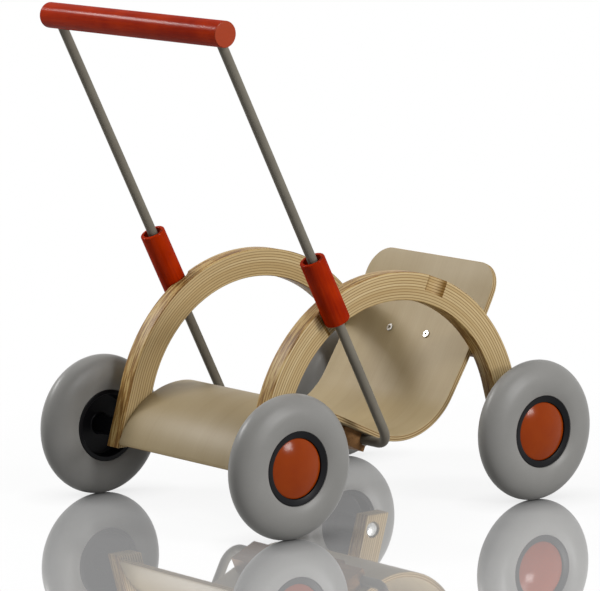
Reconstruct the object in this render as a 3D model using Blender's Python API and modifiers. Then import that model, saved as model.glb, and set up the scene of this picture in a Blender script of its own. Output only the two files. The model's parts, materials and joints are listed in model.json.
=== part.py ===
# Doll pram: two laminated wooden arches on four soft-tyred wheels carry a moulded plywood seat shell.
# A bent steel handle pivots under the shell, and two sleeves on its legs drop into notches of the arches.
# Metres throughout. +X points forward, away from the handle, +Y to the left, +Z up, the floor is Z = 0.
# Shapes are laid out round the middle of the arches, and the root empty moves that to the final origin.

import math

import bmesh
import bpy
from mathutils import Matrix, Vector

# Fits
SEAT_GAP = 0.0003  # between pieces that bear on each other
RUN_GAP = 0.0003  # round a shaft or a dowel in its hole
SLIDE_GAP = 0.0005  # round the rod inside a sleeve
NOTCH_GAP = 0.0029  # round a sleeve in its notch
SIDE_GAP = 0.0011  # between the edge of the shell and an arch
ROD_GAP = 0.0046  # between a handle leg and the face of an arch
CUT_PAST = 0.002  # how far a cutter runs past the face that it opens

# Facets
TYRE_SIDES = 32
HUB_SIDES = 24
SLEEVE_SIDES = 24
HARDWARE_SIDES = 12
ARCH_STEPS = 26
BEND_STEPS = 6

# Tyre and hub, with distances along the axle counted outwards from the wheel's middle plane
TYRE_RADIUS = 0.075
TYRE_HALF_WIDTH = 0.0179
TYRE_BULGE = 0.0032  # how far each side of the tyre swells past the rim
TYRE_STEPS = 10  # even, so that a point falls on the crown
RIM_RADIUS = 0.0385
RIM_LIP = 0.0014  # depth of the channel that holds the tyre
RIM_LIP_WIDTH = 0.005
RIM_WALL = 0.0035
RING_SLOPE = 0.0016  # how far the outer ring falls towards the cap
HUB_WEB = 0.0045
HUB_DRAFT = 0.0012
BARREL_WALL = 0.0035

# Hub cap
CAP_RADIUS = 0.0311
CAP_RECESS = 0.0032  # from the crest of the hub's ring in to the cap's rim
CAP_RIM = 0.0015
CAP_LEDGE = 0.0022  # width of the rim outside the snap skirt
CAP_WALL = 0.0020
CAP_DOME = 0.0057
CAP_STEPS = 4

# Axle bolt, bush, washer and nut
BOLT_RADIUS = 0.0040
BOLT_HEAD_RADIUS = 0.0090
BOLT_HEAD_HEIGHT = 0.0045
BOLT_HEAD_EDGE = 0.0012
BOLT_PAST_NUT = 0.0010
BOLT_TO_CAP = 0.0015
BUSH_WALL = 0.0027
BUSH_REACH = 0.0341  # from the middle plane in to the end of the bush
BUSH_PROUD = 0.0004
WASHER_RADIUS = 0.0090
WASHER_THICKNESS = 0.0016
NUT_FLATS = 0.0130
NUT_HEIGHT = 0.0070

# Laminated arches: a round top, straight splayed legs and feet cut level
ARCH_RADIUS = 0.1748
ARCH_THICKNESS = 0.0296
ARCH_WIDTH = 0.0200
ARCH_RISE = 0.0043  # from the axles up to the centre of the round part
ARCH_EDGE = 0.0012
LEG_SPLAY = math.radians(16.0)
FOOT_DROP = 0.0170  # from the axles down to the feet
FRONT_AXLE_OUTSET = -0.0033  # from the middle line of the front leg out to the axle
REAR_AXLE_OUTSET = 0.0020

# Seat shell, one moulded sheet: leg panel, knee, slope, seat and back, sized on its upper face
SHELL_WIDTH = 0.2062
SHELL_THICKNESS = 0.0060
SHELL_EDGE = 0.0008
KNEE_INSET = 0.0721  # from the outside of the arches in to the crest of the knee
KNEE_RISE = 0.0434  # from the centre of the arches up to the crest of the knee
KNEE_REAR_RADIUS = 0.0910
KNEE_REAR_SWEEP = math.radians(70.0)
KNEE_REAR_STEPS = 8
KNEE_FRONT_RADIUS = 0.0600
KNEE_FRONT_STEPS = 3
SLOPE_ANGLE = math.radians(24.55)
SLOPE_LENGTH = 0.0818
SEAT_RADIUS = 0.0771
SEAT_STEPS = 9
BACK_LEAN = math.radians(32.84)  # at the foot of the back, which stands up straighter towards its top
BACK_RADIUS = 1.0000
BACK_STEPS = 4
BACK_LENGTH = 0.1518
BACK_CORNER = 0.0305
PANEL_CORNER = 0.0040
CORNER_STEPS = 6

# Cross rails, dowelled into the arches
RAIL_THICKNESS = 0.0120
RAIL_HEIGHT = 0.0200
RAIL_EDGE = 0.0010
BACK_RAIL_INSET = 0.0023  # inside the middle line of the arches
REAR_RAIL_ANGLE = math.radians(49.0)  # up from level, round the centre of the knee
DOWEL_RADIUS = 0.0030
DOWEL_EDGE = 0.0006
DOWEL_IN_ARCH = 0.0120
DOWEL_IN_RAIL = 0.0150

# Screws through the shell
SCREW_HEAD_RADIUS = 0.0040
SCREW_HEAD_DEPTH = 0.0022
SCREW_RADIUS = 0.0020
SCREW_TIP = 0.0020
SCREW_BITE = 0.0085  # into the rail or the block
RECESS_RADIUS = 0.0018
RECESS_DEPTH = 0.0012
BACK_SCREW_Y = 0.0302
BLOCK_SCREW_Y = 0.0600
BLOCK_SCREW_INSET = 0.0120  # from the rear face of the block

# Handle, bent from one rod, with distances along a leg counted from the pivot
ROD_RADIUS = 0.0052
ROD_BEND = 0.0200
HANDLE_LEAN = math.radians(27.17)
FRONT_LEAN = math.radians(24.0)  # when the handle is turned to the other end
HANDLE_REACH = 0.4959
PIVOT_BEFORE_SEAT = 0.0060  # along the slope, from the pivot to the start of the seat's bend
GRIP_RADIUS = 0.0135
GRIP_OVERHANG = 0.0138  # past the middle of each leg
GRIP_EDGE = 0.0012
ROD_PAST_GRIP = 0.0040  # past the middle of the grip, inside its blind hole
SLEEVE_RADIUS = 0.0135
SLEEVE_LENGTH = 0.0750
SLEEVE_EDGE = 0.0014
SLEEVE_CUP_RADIUS = 0.0095
SLEEVE_CUP_DEPTH = 0.0080
NOTCH_PLAY = math.radians(0.82)  # from the axis of a resting sleeve forward to the axis of its notch
NOTCH_LENGTH = 0.0178  # from the outside of an arch down to the shoulder of its notch

# Pivot block under the slope: a groove for the rod, a front lip in the middle, open ledges at its ends
BLOCK_FLOOR = 0.0066
BLOCK_LIP = 0.0045
BLOCK_LIP_HALF_WIDTH = 0.0550
BLOCK_LEDGE = 0.0048  # how far the ledges reach forward of the rod's axis
BLOCK_BACK = 0.0300
BLOCK_HALF_WIDTH = 0.0920
BLOCK_STEPS = 8

# Finishes: colour, roughness, metallic
LAMINATE = ((0.46, 0.33, 0.17), 0.50, 0.0)
VENEER = ((0.42, 0.34, 0.23), 0.50, 0.0)
BEECH = ((0.45, 0.30, 0.16), 0.60, 0.0)
RED_LACQUER = ((0.35, 0.03, 0.007), 0.25, 0.0)
RED_CAP = ((0.42, 0.06, 0.008), 0.22, 0.0)
GREY_RUBBER = ((0.25, 0.25, 0.245), 0.70, 0.0)
BLACK_PLASTIC = ((0.013, 0.013, 0.015), 0.45, 0.0)
NYLON = ((0.78, 0.77, 0.72), 0.50, 0.0)
GREY_COAT = ((0.16, 0.145, 0.13), 0.50, 0.3)
STEEL = ((0.60, 0.60, 0.59), 0.30, 1.0)

# Places across the pram
ARCH_INNER_Y = SHELL_WIDTH / 2 + SIDE_GAP
ARCH_OUTER_Y = ARCH_INNER_Y + ARCH_WIDTH
LEG_Y = ARCH_OUTER_Y + ROD_GAP + ROD_RADIUS
WHEEL_Y = ARCH_OUTER_Y + WASHER_THICKNESS + 2 * SEAT_GAP + BUSH_REACH

# Places along the pram
AXLE_Z = TYRE_RADIUS
ARCH_Z = AXLE_Z + ARCH_RISE
FOOT_Z = AXLE_Z - FOOT_DROP
ARCH_MIDDLE_RADIUS = ARCH_RADIUS - ARCH_THICKNESS / 2
ARCH_INNER_RADIUS = ARCH_RADIUS - ARCH_THICKNESS
ARCH_CENTRE = Vector((0.0, ARCH_Z))


def heading(angle):
    return Vector((math.cos(angle), math.sin(angle)))


def arc(centre, radius, start, end, steps):
    return [centre + radius * heading(start + (end - start) * i / steps) for i in range(steps + 1)]


def leg_point(radius, height):
    # Where the straight leg that leaves the round part at this radius passes this height.
    top = ARCH_CENTRE + radius * heading(LEG_SPLAY)
    run = (top.y - height) / math.cos(LEG_SPLAY)
    return Vector((top.x + run * math.sin(LEG_SPLAY), height))


LEG_X = leg_point(ARCH_MIDDLE_RADIUS, AXLE_Z).x
FRONT_AXLE_X = LEG_X + FRONT_AXLE_OUTSET
REAR_AXLE_X = -LEG_X - REAR_AXLE_OUTSET

# The shell's profile, as straight runs between tangent arcs
KNEE_CREST = Vector((KNEE_INSET - ARCH_RADIUS, ARCH_Z + KNEE_RISE))
KNEE_REAR_CENTRE = KNEE_CREST - Vector((0.0, KNEE_REAR_RADIUS))
KNEE_FRONT_CENTRE = KNEE_CREST - Vector((0.0, KNEE_FRONT_RADIUS))
SLOPE_UP = Vector((math.sin(SLOPE_ANGLE), math.cos(SLOPE_ANGLE)))
SLOPE_DOWNHILL = Vector((math.cos(SLOPE_ANGLE), -math.sin(SLOPE_ANGLE)))
SLOPE_START = KNEE_FRONT_CENTRE + KNEE_FRONT_RADIUS * SLOPE_UP
SLOPE_END = SLOPE_START + SLOPE_LENGTH * SLOPE_DOWNHILL
SEAT_CENTRE = SLOPE_END + SEAT_RADIUS * SLOPE_UP
BACK_CENTRE = SEAT_CENTRE + (SEAT_RADIUS - BACK_RADIUS) * heading(-BACK_LEAN)
BACK_SWEEP = BACK_LENGTH / BACK_RADIUS

# The pivot hangs the rod just clear of the underside of the slope
PIVOT_FOOT = SLOPE_END - PIVOT_BEFORE_SEAT * SLOPE_DOWNHILL
UNDER_PIVOT = PIVOT_FOOT - SHELL_THICKNESS * SLOPE_UP
PIVOT = UNDER_PIVOT - (ROD_RADIUS + RUN_GAP) * SLOPE_UP
LEG_UP = Vector((-math.sin(HANDLE_LEAN), math.cos(HANDLE_LEAN)))
REAR_NOTCH_LEAN = NOTCH_PLAY - HANDLE_LEAN
GRIP_CENTRE = PIVOT + HANDLE_REACH * LEG_UP

# The origin lies under the middle of the whole pram
REAR_REACH = min(GRIP_CENTRE.x - GRIP_RADIUS, REAR_AXLE_X - TYRE_RADIUS)
FRONT_REACH = FRONT_AXLE_X + TYRE_RADIUS
ORIGIN_SHIFT = -(REAR_REACH + FRONT_REACH) / 2


def new_collection(name):
    collection = bpy.data.collections.new(name)
    bpy.context.scene.collection.children.link(collection)
    return collection


def add_empty(name, parent=None, location=(0, 0, 0), rotation=(0, 0, 0)):
    empty = bpy.data.objects.new(name, None)
    empty.empty_display_size = 0.02
    empty.location = location
    empty.rotation_euler = rotation
    empty.parent = parent
    PARTS.objects.link(empty)
    return empty


def make_material(name, finish):
    colour, roughness, metallic = finish
    material = bpy.data.materials.new(name)
    material.use_nodes = True
    shader = material.node_tree.nodes["Principled BSDF"]
    shader.inputs["Base Color"].default_value = (*colour, 1.0)
    shader.inputs["Roughness"].default_value = roughness
    shader.inputs["Metallic"].default_value = metallic
    return material


def place(obj, parent, location=(0, 0, 0), rotation=(0, 0, 0)):
    obj.parent = parent
    obj.location = location
    obj.rotation_euler = rotation
    return obj


def as_part(obj, finish):
    PARTS.objects.link(obj)
    obj.data.materials.append(make_material(obj.name, finish))
    return obj


def as_cutter(obj):
    CUTTERS.objects.link(obj)
    obj.hide_render = True
    obj.display_type = "WIRE"
    return obj


def cut(obj, cutter):
    boolean = obj.modifiers.new(cutter.name, "BOOLEAN")
    boolean.operation = "DIFFERENCE"
    boolean.solver = "EXACT"
    boolean.object = cutter


def turned(name, profile, sides, closed=False):
    # A profile of (radius, height) pairs, top to bottom on its outer side, turned round Z.
    edges = [(i, i + 1) for i in range(len(profile) - 1)]
    if closed:
        edges.append((len(profile) - 1, 0))
    mesh = bpy.data.meshes.new(name)
    mesh.from_pydata([(radius, 0.0, height) for radius, height in profile], edges, [])
    obj = bpy.data.objects.new(name, mesh)
    screw = obj.modifiers.new("turn", "SCREW")
    screw.axis = "Z"
    screw.angle = 2 * math.pi
    screw.steps = sides
    screw.render_steps = sides
    screw.use_merge_vertices = True
    screw.merge_threshold = 0.00001
    screw.use_smooth_shade = True
    return obj


def rod_cutter(name, radius, low, high, sides):
    return as_cutter(turned(name, [(0, high), (radius, high), (radius, low), (0, low)], sides))


def plate(name, outline, half_width, holes=()):
    # A flat outline of (x, z) points, pulled out along Y to both sides.
    curve = bpy.data.curves.new(name, "CURVE")
    curve.dimensions = "2D"
    curve.fill_mode = "BOTH"
    curve.extrude = half_width
    for loop in (outline, *holes):
        spline = curve.splines.new("POLY")
        spline.points.add(len(loop) - 1)
        for point, spot in zip(spline.points, loop):
            point.co = (*spot, 0.0, 1.0)
        spline.use_cyclic_u = True
    return meshed(curve, Matrix.Rotation(math.pi / 2, 4, "X"))


def meshed(curve, turn=Matrix.Identity(4)):
    # The curve's surface as a mesh, with its caps welded on and flat faces left whole.
    drawn = bpy.data.objects.new(curve.name, curve)
    PARTS.objects.link(drawn)
    graph = bpy.context.evaluated_depsgraph_get()
    mesh = bpy.data.meshes.new_from_object(drawn.evaluated_get(graph))
    bpy.data.objects.remove(drawn)
    mesh.transform(turn)
    work = bmesh.new()
    work.from_mesh(mesh)
    bmesh.ops.remove_doubles(work, verts=work.verts, dist=0.00001)
    bmesh.ops.dissolve_limit(work, angle_limit=0.001, verts=work.verts, edges=work.edges)
    bmesh.ops.recalc_face_normals(work, faces=work.faces)
    work.to_mesh(mesh)
    work.free()
    mesh.shade_smooth()
    mesh.set_sharp_from_angle(angle=math.radians(30))
    return bpy.data.objects.new(curve.name, mesh)


def round_edges(obj, width, steps=1):
    bevel = obj.modifiers.new("edges", "BEVEL")
    bevel.width = width
    bevel.segments = steps
    bevel.limit_method = "ANGLE"
    bevel.angle_limit = math.radians(50)


def box(name, size):
    mesh = bpy.data.meshes.new(name)
    work = bmesh.new()
    bmesh.ops.create_cube(work, size=1.0)
    bmesh.ops.scale(work, vec=size, verts=work.verts)
    work.to_mesh(mesh)
    work.free()
    return bpy.data.objects.new(name, mesh)


def in_3d(point, y=0.0):
    return (point.x, y, point.y)


# Places along the axle that the wheel's pieces share
RIM_HALF = TYRE_HALF_WIDTH - TYRE_BULGE
CAP_EDGE = RIM_HALF - CAP_RECESS
CAP_TOP = CAP_EDGE + CAP_DOME
CAP_SEAT = CAP_EDGE - CAP_RIM - SEAT_GAP
BOLT_END = CAP_TOP - CAP_WALL - BOLT_TO_CAP
NUT_INNER = BOLT_END - BOLT_PAST_NUT - NUT_HEIGHT
BUSH_END = NUT_INNER - SEAT_GAP
CUP_FLOOR = BUSH_END - BUSH_PROUD
BUSH_BORE = BOLT_RADIUS + RUN_GAP
BUSH_RADIUS = BUSH_BORE + BUSH_WALL
HUB_BORE = BUSH_RADIUS + RUN_GAP
SKIRT_RADIUS = CAP_RADIUS - CAP_LEDGE
ARCH_INNER_FACE = ARCH_INNER_Y - WHEEL_Y
ARCH_OUTER_FACE = ARCH_OUTER_Y - WHEEL_Y
BOLT_SEAT = ARCH_INNER_FACE + BOLT_HEAD_HEIGHT


def tyre_profile():
    # An oval section that stands on flats, cut off at the rim and seated in the rim's channel.
    bead = RIM_RADIUS + SEAT_GAP
    side = math.acos(RIM_HALF / TYRE_HALF_WIDTH)
    tall = (TYRE_RADIUS - bead) / (1 + math.sin(side))
    to_flats = 1 / math.cos(math.pi / TYRE_SIDES)
    profile = []
    for i in range(TYRE_STEPS + 1):
        angle = -side + (math.pi + 2 * side) * i / TYRE_STEPS
        radius = TYRE_RADIUS - tall + tall * math.sin(angle)
        profile.append((radius * to_flats, TYRE_HALF_WIDTH * math.cos(angle)))
    channel = RIM_RADIUS - RIM_LIP + SEAT_GAP
    for height in (RIM_LIP_WIDTH - RIM_HALF, RIM_HALF - RIM_LIP_WIDTH):
        profile.append((channel * to_flats, height))
    return profile


def hub_profile():
    barrel = HUB_BORE + BARREL_WALL
    barrel_end = BUSH_PROUD - BUSH_REACH
    dish = RIM_RADIUS - RIM_LIP - RIM_WALL
    web = CUP_FLOOR - HUB_WEB
    mouth = CAP_RADIUS + RUN_GAP
    channel = RIM_RADIUS - RIM_LIP
    return [
        (mouth, RIM_HALF - RING_SLOPE),
        (RIM_RADIUS, RIM_HALF),
        (channel, RIM_HALF - RIM_LIP_WIDTH),
        (channel, RIM_LIP_WIDTH - RIM_HALF),
        (RIM_RADIUS, -RIM_HALF),
        (dish, -RIM_HALF),
        (dish - HUB_DRAFT, web),
        (barrel, web),
        (barrel - HUB_DRAFT, barrel_end),
        (HUB_BORE, barrel_end),
        (HUB_BORE, CUP_FLOOR),
        (SKIRT_RADIUS + RUN_GAP, CUP_FLOOR),
        (SKIRT_RADIUS + RUN_GAP, CAP_SEAT),
        (mouth, CAP_SEAT),
    ]


def cap_profile():
    # A shallow dome with a flat rim and a snap skirt that reaches down to the floor of the hub's cup.
    ball = (CAP_RADIUS**2 + CAP_DOME**2) / (2 * CAP_DOME)
    half = math.asin(CAP_RADIUS / ball)
    dome = [
        (ball * math.sin(half * i / CAP_STEPS), CAP_TOP - ball + ball * math.cos(half * i / CAP_STEPS))
        for i in range(CAP_STEPS + 1)
    ]
    rim = CAP_EDGE - CAP_RIM
    skirt_end = CUP_FLOOR + SEAT_GAP
    skirt_bore = SKIRT_RADIUS - CAP_WALL
    return dome + [
        (CAP_RADIUS, rim),
        (SKIRT_RADIUS, rim),
        (SKIRT_RADIUS, skirt_end),
        (skirt_bore, skirt_end),
        (skirt_bore, rim),
        (0, CAP_TOP - CAP_WALL),
    ]


def bolt_profile():
    # A plain shank with a domed head that lies flush in the inner face of the leg.
    chamfer = BOLT_PAST_NUT
    dome = BOLT_SEAT - BOLT_HEAD_EDGE
    return [
        (0, BOLT_END),
        (BOLT_RADIUS - chamfer, BOLT_END),
        (BOLT_RADIUS, BOLT_END - chamfer),
        (BOLT_RADIUS, BOLT_SEAT),
        (BOLT_HEAD_RADIUS, BOLT_SEAT),
        (BOLT_HEAD_RADIUS, dome),
        (BOLT_HEAD_RADIUS * math.cos(math.pi / 4), dome + (ARCH_INNER_FACE - dome) * math.sin(math.pi / 4)),
        (0, ARCH_INNER_FACE),
    ]


def ring_profile(outer, inner, high, low):
    return [(outer, high), (outer, low), (inner, low), (inner, high)]


def nut_mesh(name):
    corner = NUT_FLATS / 2 / math.cos(math.pi / 6)
    hexagon = [corner * heading(math.pi / 3 * i) for i in range(6)]
    hole_step = 2 * math.pi / HARDWARE_SIDES
    hole = [(BOLT_RADIUS + RUN_GAP) * heading(hole_step * i) for i in range(HARDWARE_SIDES)]
    nut = plate(name, hexagon, NUT_HEIGHT / 2, [hole])
    nut.data.transform(Matrix.Rotation(math.pi / 2, 4, "X"))
    return nut


def build_wheel(corner, x, side, root):
    # Local Z of the axle empty points outwards, so the same profiles serve both sides.
    turn = (-side * math.pi / 2, 0, 0)
    axle = add_empty(f"{corner}_axle", root, (x, side * WHEEL_Y, AXLE_Z), turn)
    tyre = as_part(turned(f"{corner}_tyre", tyre_profile(), TYRE_SIDES, True), GREY_RUBBER)
    place(tyre, axle, rotation=(0, 0, math.pi / TYRE_SIDES))

    bush = ring_profile(BUSH_RADIUS, BUSH_BORE, BUSH_END, -BUSH_REACH)
    washer_inner = ARCH_OUTER_FACE + SEAT_GAP
    washer = ring_profile(WASHER_RADIUS, BUSH_BORE, washer_inner + WASHER_THICKNESS, washer_inner)
    for piece, profile, sides, closed, finish in (
        ("hub", hub_profile(), HUB_SIDES, True, BLACK_PLASTIC),
        ("hubcap", cap_profile(), HUB_SIDES, False, RED_CAP),
        ("bush", bush, HARDWARE_SIDES, True, NYLON),
        ("washer", washer, HARDWARE_SIDES, True, STEEL),
        ("axle_bolt", bolt_profile(), HARDWARE_SIDES, False, STEEL),
    ):
        solid = turned(f"{corner}_{piece}", profile, sides, closed)
        place(as_part(solid, finish), axle)

    nut = as_part(nut_mesh(f"{corner}_lock_nut"), STEEL)
    place(nut, axle, (0, 0, NUT_INNER + NUT_HEIGHT / 2))

    bore = [
        (0, ARCH_OUTER_FACE + CUT_PAST),
        (BUSH_BORE, ARCH_OUTER_FACE + CUT_PAST),
        (BUSH_BORE, BOLT_SEAT + SEAT_GAP),
        (BOLT_HEAD_RADIUS + RUN_GAP, BOLT_SEAT + SEAT_GAP),
        (BOLT_HEAD_RADIUS + RUN_GAP, ARCH_INNER_FACE - CUT_PAST),
        (0, ARCH_INNER_FACE - CUT_PAST),
    ]
    return place(as_cutter(turned(f"{corner}_bore", bore, HARDWARE_SIDES)), axle)


def build_arch(name, side, root):
    outer = arc(ARCH_CENTRE, ARCH_RADIUS, LEG_SPLAY, math.pi - LEG_SPLAY, ARCH_STEPS)
    inner = arc(ARCH_CENTRE, ARCH_INNER_RADIUS, math.pi - LEG_SPLAY, LEG_SPLAY, ARCH_STEPS)
    outer_foot = leg_point(ARCH_RADIUS, FOOT_Z)
    inner_foot = leg_point(ARCH_INNER_RADIUS, FOOT_Z)
    across = Vector((-1.0, 1.0))
    outline = [outer_foot, *outer, outer_foot * across, inner_foot * across, *inner, inner_foot]
    arch = as_part(plate(name, outline, ARCH_WIDTH / 2), LAMINATE)
    round_edges(arch, ARCH_EDGE)
    return place(arch, root, (0, side * (ARCH_INNER_Y + ARCH_WIDTH / 2), 0))


def shell_path():
    up = math.pi / 2
    path = arc(KNEE_REAR_CENTRE, KNEE_REAR_RADIUS, up + KNEE_REAR_SWEEP, up, KNEE_REAR_STEPS)
    path += arc(KNEE_FRONT_CENTRE, KNEE_FRONT_RADIUS, up, up - SLOPE_ANGLE, KNEE_FRONT_STEPS)[1:]
    path += arc(SEAT_CENTRE, SEAT_RADIUS, -up - SLOPE_ANGLE, -BACK_LEAN, SEAT_STEPS)
    path += arc(BACK_CENTRE, BACK_RADIUS, -BACK_LEAN, BACK_SWEEP - BACK_LEAN, BACK_STEPS)[1:]
    return path


def build_shell(root):
    # The profile is pulled across as an open sheet, gets rounded corners, and then its thickness.
    work = bmesh.new()
    path = shell_path()
    line = [work.verts.new(in_3d(point, SHELL_WIDTH / 2)) for point in path]
    edges = [work.edges.new(pair) for pair in zip(line, line[1:])]
    pulled = bmesh.ops.extrude_edge_only(work, edges=edges)["geom"]
    moved = [item for item in pulled if isinstance(item, bmesh.types.BMVert)]
    bmesh.ops.translate(work, verts=moved, vec=(0, -SHELL_WIDTH, 0))
    if sum(face.normal.z for face in work.faces) < 0:
        bmesh.ops.reverse_faces(work, faces=work.faces)
    mesh = bpy.data.meshes.new("seat_shell")
    work.to_mesh(mesh)
    work.free()
    mesh.shade_smooth()
    shell = as_part(bpy.data.objects.new("seat_shell", mesh), VENEER)

    for label, end, radius in (("back", path[-1], BACK_CORNER), ("panel", path[0], PANEL_CORNER)):
        corners = [v.index for v in mesh.vertices if (v.co - Vector(in_3d(end, v.co.y))).length < CUT_PAST]
        shell.vertex_groups.new(name=label).add(corners, 1.0, "REPLACE")
        bevel = shell.modifiers.new(f"{label}_corners", "BEVEL")
        bevel.affect = "VERTICES"
        bevel.offset_type = "ABSOLUTE"
        bevel.width = radius
        bevel.segments = CORNER_STEPS
        bevel.limit_method = "VGROUP"
        bevel.vertex_group = label
    solidify = shell.modifiers.new("thickness", "SOLIDIFY")
    solidify.thickness = SHELL_THICKNESS
    solidify.offset = -1.0
    solidify.use_even_offset = True
    round_edges(shell, SHELL_EDGE)
    return place(shell, root)


def screw_profile():
    # A countersunk head with a round driver recess, a shank and a point.
    tip = SHELL_THICKNESS + SEAT_GAP + SCREW_BITE
    return [
        (0, -RECESS_DEPTH),
        (RECESS_RADIUS, -RECESS_DEPTH),
        (RECESS_RADIUS, 0),
        (SCREW_HEAD_RADIUS, 0),
        (SCREW_RADIUS, -SCREW_HEAD_DEPTH),
        (SCREW_RADIUS, SCREW_TIP - tip),
        (0, -tip),
    ]


def screw_hole_profile():
    past = SHELL_THICKNESS + 2 * SEAT_GAP + SCREW_BITE
    return [
        (0, CUT_PAST),
        (SCREW_HEAD_RADIUS + RUN_GAP, CUT_PAST),
        (SCREW_HEAD_RADIUS + RUN_GAP, 0),
        (SCREW_RADIUS + RUN_GAP, -SCREW_HEAD_DEPTH),
        (SCREW_RADIUS + RUN_GAP, -past),
        (0, -past),
    ]


def build_screws(name, point, tilt, y, root, through):
    for side, label in ((1, "left"), (-1, "right")):
        location = in_3d(point, side * y)
        screw = as_part(turned(f"{name}_screw_{label}", screw_profile(), HARDWARE_SIDES), STEEL)
        place(screw, root, location, (0, tilt, 0))
        hole = as_cutter(turned(f"{name}_screw_hole_{label}", screw_hole_profile(), HARDWARE_SIDES))
        place(hole, root, location, (0, tilt, 0))
        for piece in through:
            cut(piece, hole)


def build_rail(name, centre, tilt, root, arches):
    # A square rail from arch to arch, with a dowel in each end.
    length = 2 * (ARCH_INNER_Y - SEAT_GAP)
    rail = as_part(box(name, (RAIL_THICKNESS, length, RAIL_HEIGHT)), BEECH)
    round_edges(rail, RAIL_EDGE)
    place(rail, root, in_3d(centre), (0, tilt, 0))
    low = -SEAT_GAP - DOWEL_IN_RAIL
    edge = DOWEL_RADIUS - DOWEL_EDGE
    dowel = [
        (0, DOWEL_IN_ARCH),
        (edge, DOWEL_IN_ARCH),
        (DOWEL_RADIUS, DOWEL_IN_ARCH - DOWEL_EDGE),
        (DOWEL_RADIUS, low + DOWEL_EDGE),
        (edge, low),
        (0, low),
    ]
    for side, label in ((1, "left"), (-1, "right")):
        location = in_3d(centre, side * ARCH_INNER_Y)
        turn = (-side * math.pi / 2, 0, 0)
        pin = as_part(turned(f"{name}_dowel_{label}", dowel, HARDWARE_SIDES), BEECH)
        place(pin, root, location, turn)
        hole = rod_cutter(
            f"{name}_dowel_hole_{label}",
            DOWEL_RADIUS + RUN_GAP,
            low - SEAT_GAP,
            DOWEL_IN_ARCH + SEAT_GAP,
            HARDWARE_SIDES,
        )
        place(hole, root, location, turn)
        cut(rail, hole)
        cut(arches[side], hole)
    return rail


def back_rail_centre():
    # Behind the back, where it passes the middle of the arches: the upper crossing of two circles.
    behind = BACK_RADIUS + SHELL_THICKNESS + SEAT_GAP + RAIL_THICKNESS / 2
    inside = ARCH_MIDDLE_RADIUS - BACK_RAIL_INSET
    apart = ARCH_CENTRE - BACK_CENTRE
    along = (behind**2 - inside**2 + apart.length_squared) / (2 * apart.length)
    towards = apart.normalized()
    across = Vector((-towards.y, towards.x))
    return BACK_CENTRE + along * towards + math.sqrt(behind**2 - along**2) * across


def rear_rail_centre():
    # As far out as the corners of the rail can go inside the facets of the knee.
    half_step = KNEE_REAR_SWEEP / KNEE_REAR_STEPS / 2
    inside = KNEE_REAR_RADIUS * math.cos(half_step) - SHELL_THICKNESS - SEAT_GAP
    face = math.sqrt(inside**2 - (RAIL_HEIGHT / 2) ** 2)
    return KNEE_REAR_CENTRE + (face - RAIL_THICKNESS / 2) * heading(math.pi - REAR_RAIL_ANGLE)


def build_pivot_block(root):
    # Its groove is open to the underside of the shell, which closes it over the rod.
    groove = ROD_RADIUS + RUN_GAP
    middle = Vector((0.0, SEAT_GAP - groove))
    front = groove + BLOCK_LIP
    floor = middle.y - groove - BLOCK_FLOOR
    outline = [Vector((-BLOCK_BACK, floor)), Vector((front, floor)), Vector((front, 0.0))]
    outline.append(Vector((groove, 0.0)))
    outline += arc(middle, groove, 0.0, -math.pi, BLOCK_STEPS)
    outline += [Vector((-groove, 0.0)), Vector((-BLOCK_BACK, 0.0))]
    carrier = as_part(plate("pivot_block", outline, BLOCK_HALF_WIDTH), BEECH)
    seat = UNDER_PIVOT - SEAT_GAP * SLOPE_UP
    past = Vector((front + CUT_PAST, floor - CUT_PAST))
    top = middle.y - groove
    ledge = [Vector((0.0, CUT_PAST)), Vector((0.0, top)), Vector((BLOCK_LEDGE, top))]
    ledge += [Vector((BLOCK_LEDGE, past.y)), past, Vector((past.x, CUT_PAST))]
    half = (BLOCK_HALF_WIDTH + CUT_PAST - BLOCK_LIP_HALF_WIDTH) / 2
    for side, label in ((1, "left"), (-1, "right")):
        opening = as_cutter(plate(f"block_ledge_{label}", ledge, half))
        place(opening, root, in_3d(seat, side * (BLOCK_LIP_HALF_WIDTH + half)), (0, SLOPE_ANGLE, 0))
        cut(carrier, opening)
    return place(carrier, root, in_3d(seat), (0, SLOPE_ANGLE, 0))


def shoulder_reach(lean):
    # From the pivot to the shoulder of a notch, which lies a set length inside the arches' outside.
    start = PIVOT - ARCH_CENTRE
    along = start.dot(Vector((math.sin(lean), math.cos(lean))))
    return math.sqrt(along**2 - start.dot(start) + ARCH_RADIUS**2) - along - NOTCH_LENGTH


def cut_notches(arches, root):
    # Each arch has a notch for the handle as it stands, and one for it turned to the other end.
    for label, lean in (("rear", REAR_NOTCH_LEAN), ("front", FRONT_LEAN)):
        shoulder = shoulder_reach(lean)
        for side, arch in arches.items():
            notch = rod_cutter(
                f"{arch.name}_{label}_notch",
                SLEEVE_RADIUS + NOTCH_GAP,
                shoulder,
                shoulder + SLEEVE_LENGTH,
                SLEEVE_SIDES,
            )
            place(notch, root, in_3d(PIVOT, side * LEG_Y), (0, lean, 0))
            cut(arch, notch)


def build_rod(pivot):
    top = HANDLE_REACH + ROD_PAST_GRIP
    bend = Vector((LEG_Y - ROD_BEND, ROD_BEND))
    half = [Vector((LEG_Y, top)), *arc(bend, ROD_BEND, 0.0, -math.pi / 2, BEND_STEPS)]
    path = half + [Vector((-point.x, point.y)) for point in reversed(half)]
    curve = bpy.data.curves.new("handle_rod", "CURVE")
    curve.dimensions = "3D"
    curve.bevel_depth = ROD_RADIUS
    curve.bevel_resolution = 4
    curve.use_fill_caps = True
    spline = curve.splines.new("POLY")
    spline.points.add(len(path) - 1)
    for point, station in zip(spline.points, path):
        point.co = (0.0, *station, 1.0)
    return place(as_part(meshed(curve), GREY_COAT), pivot)


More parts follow.
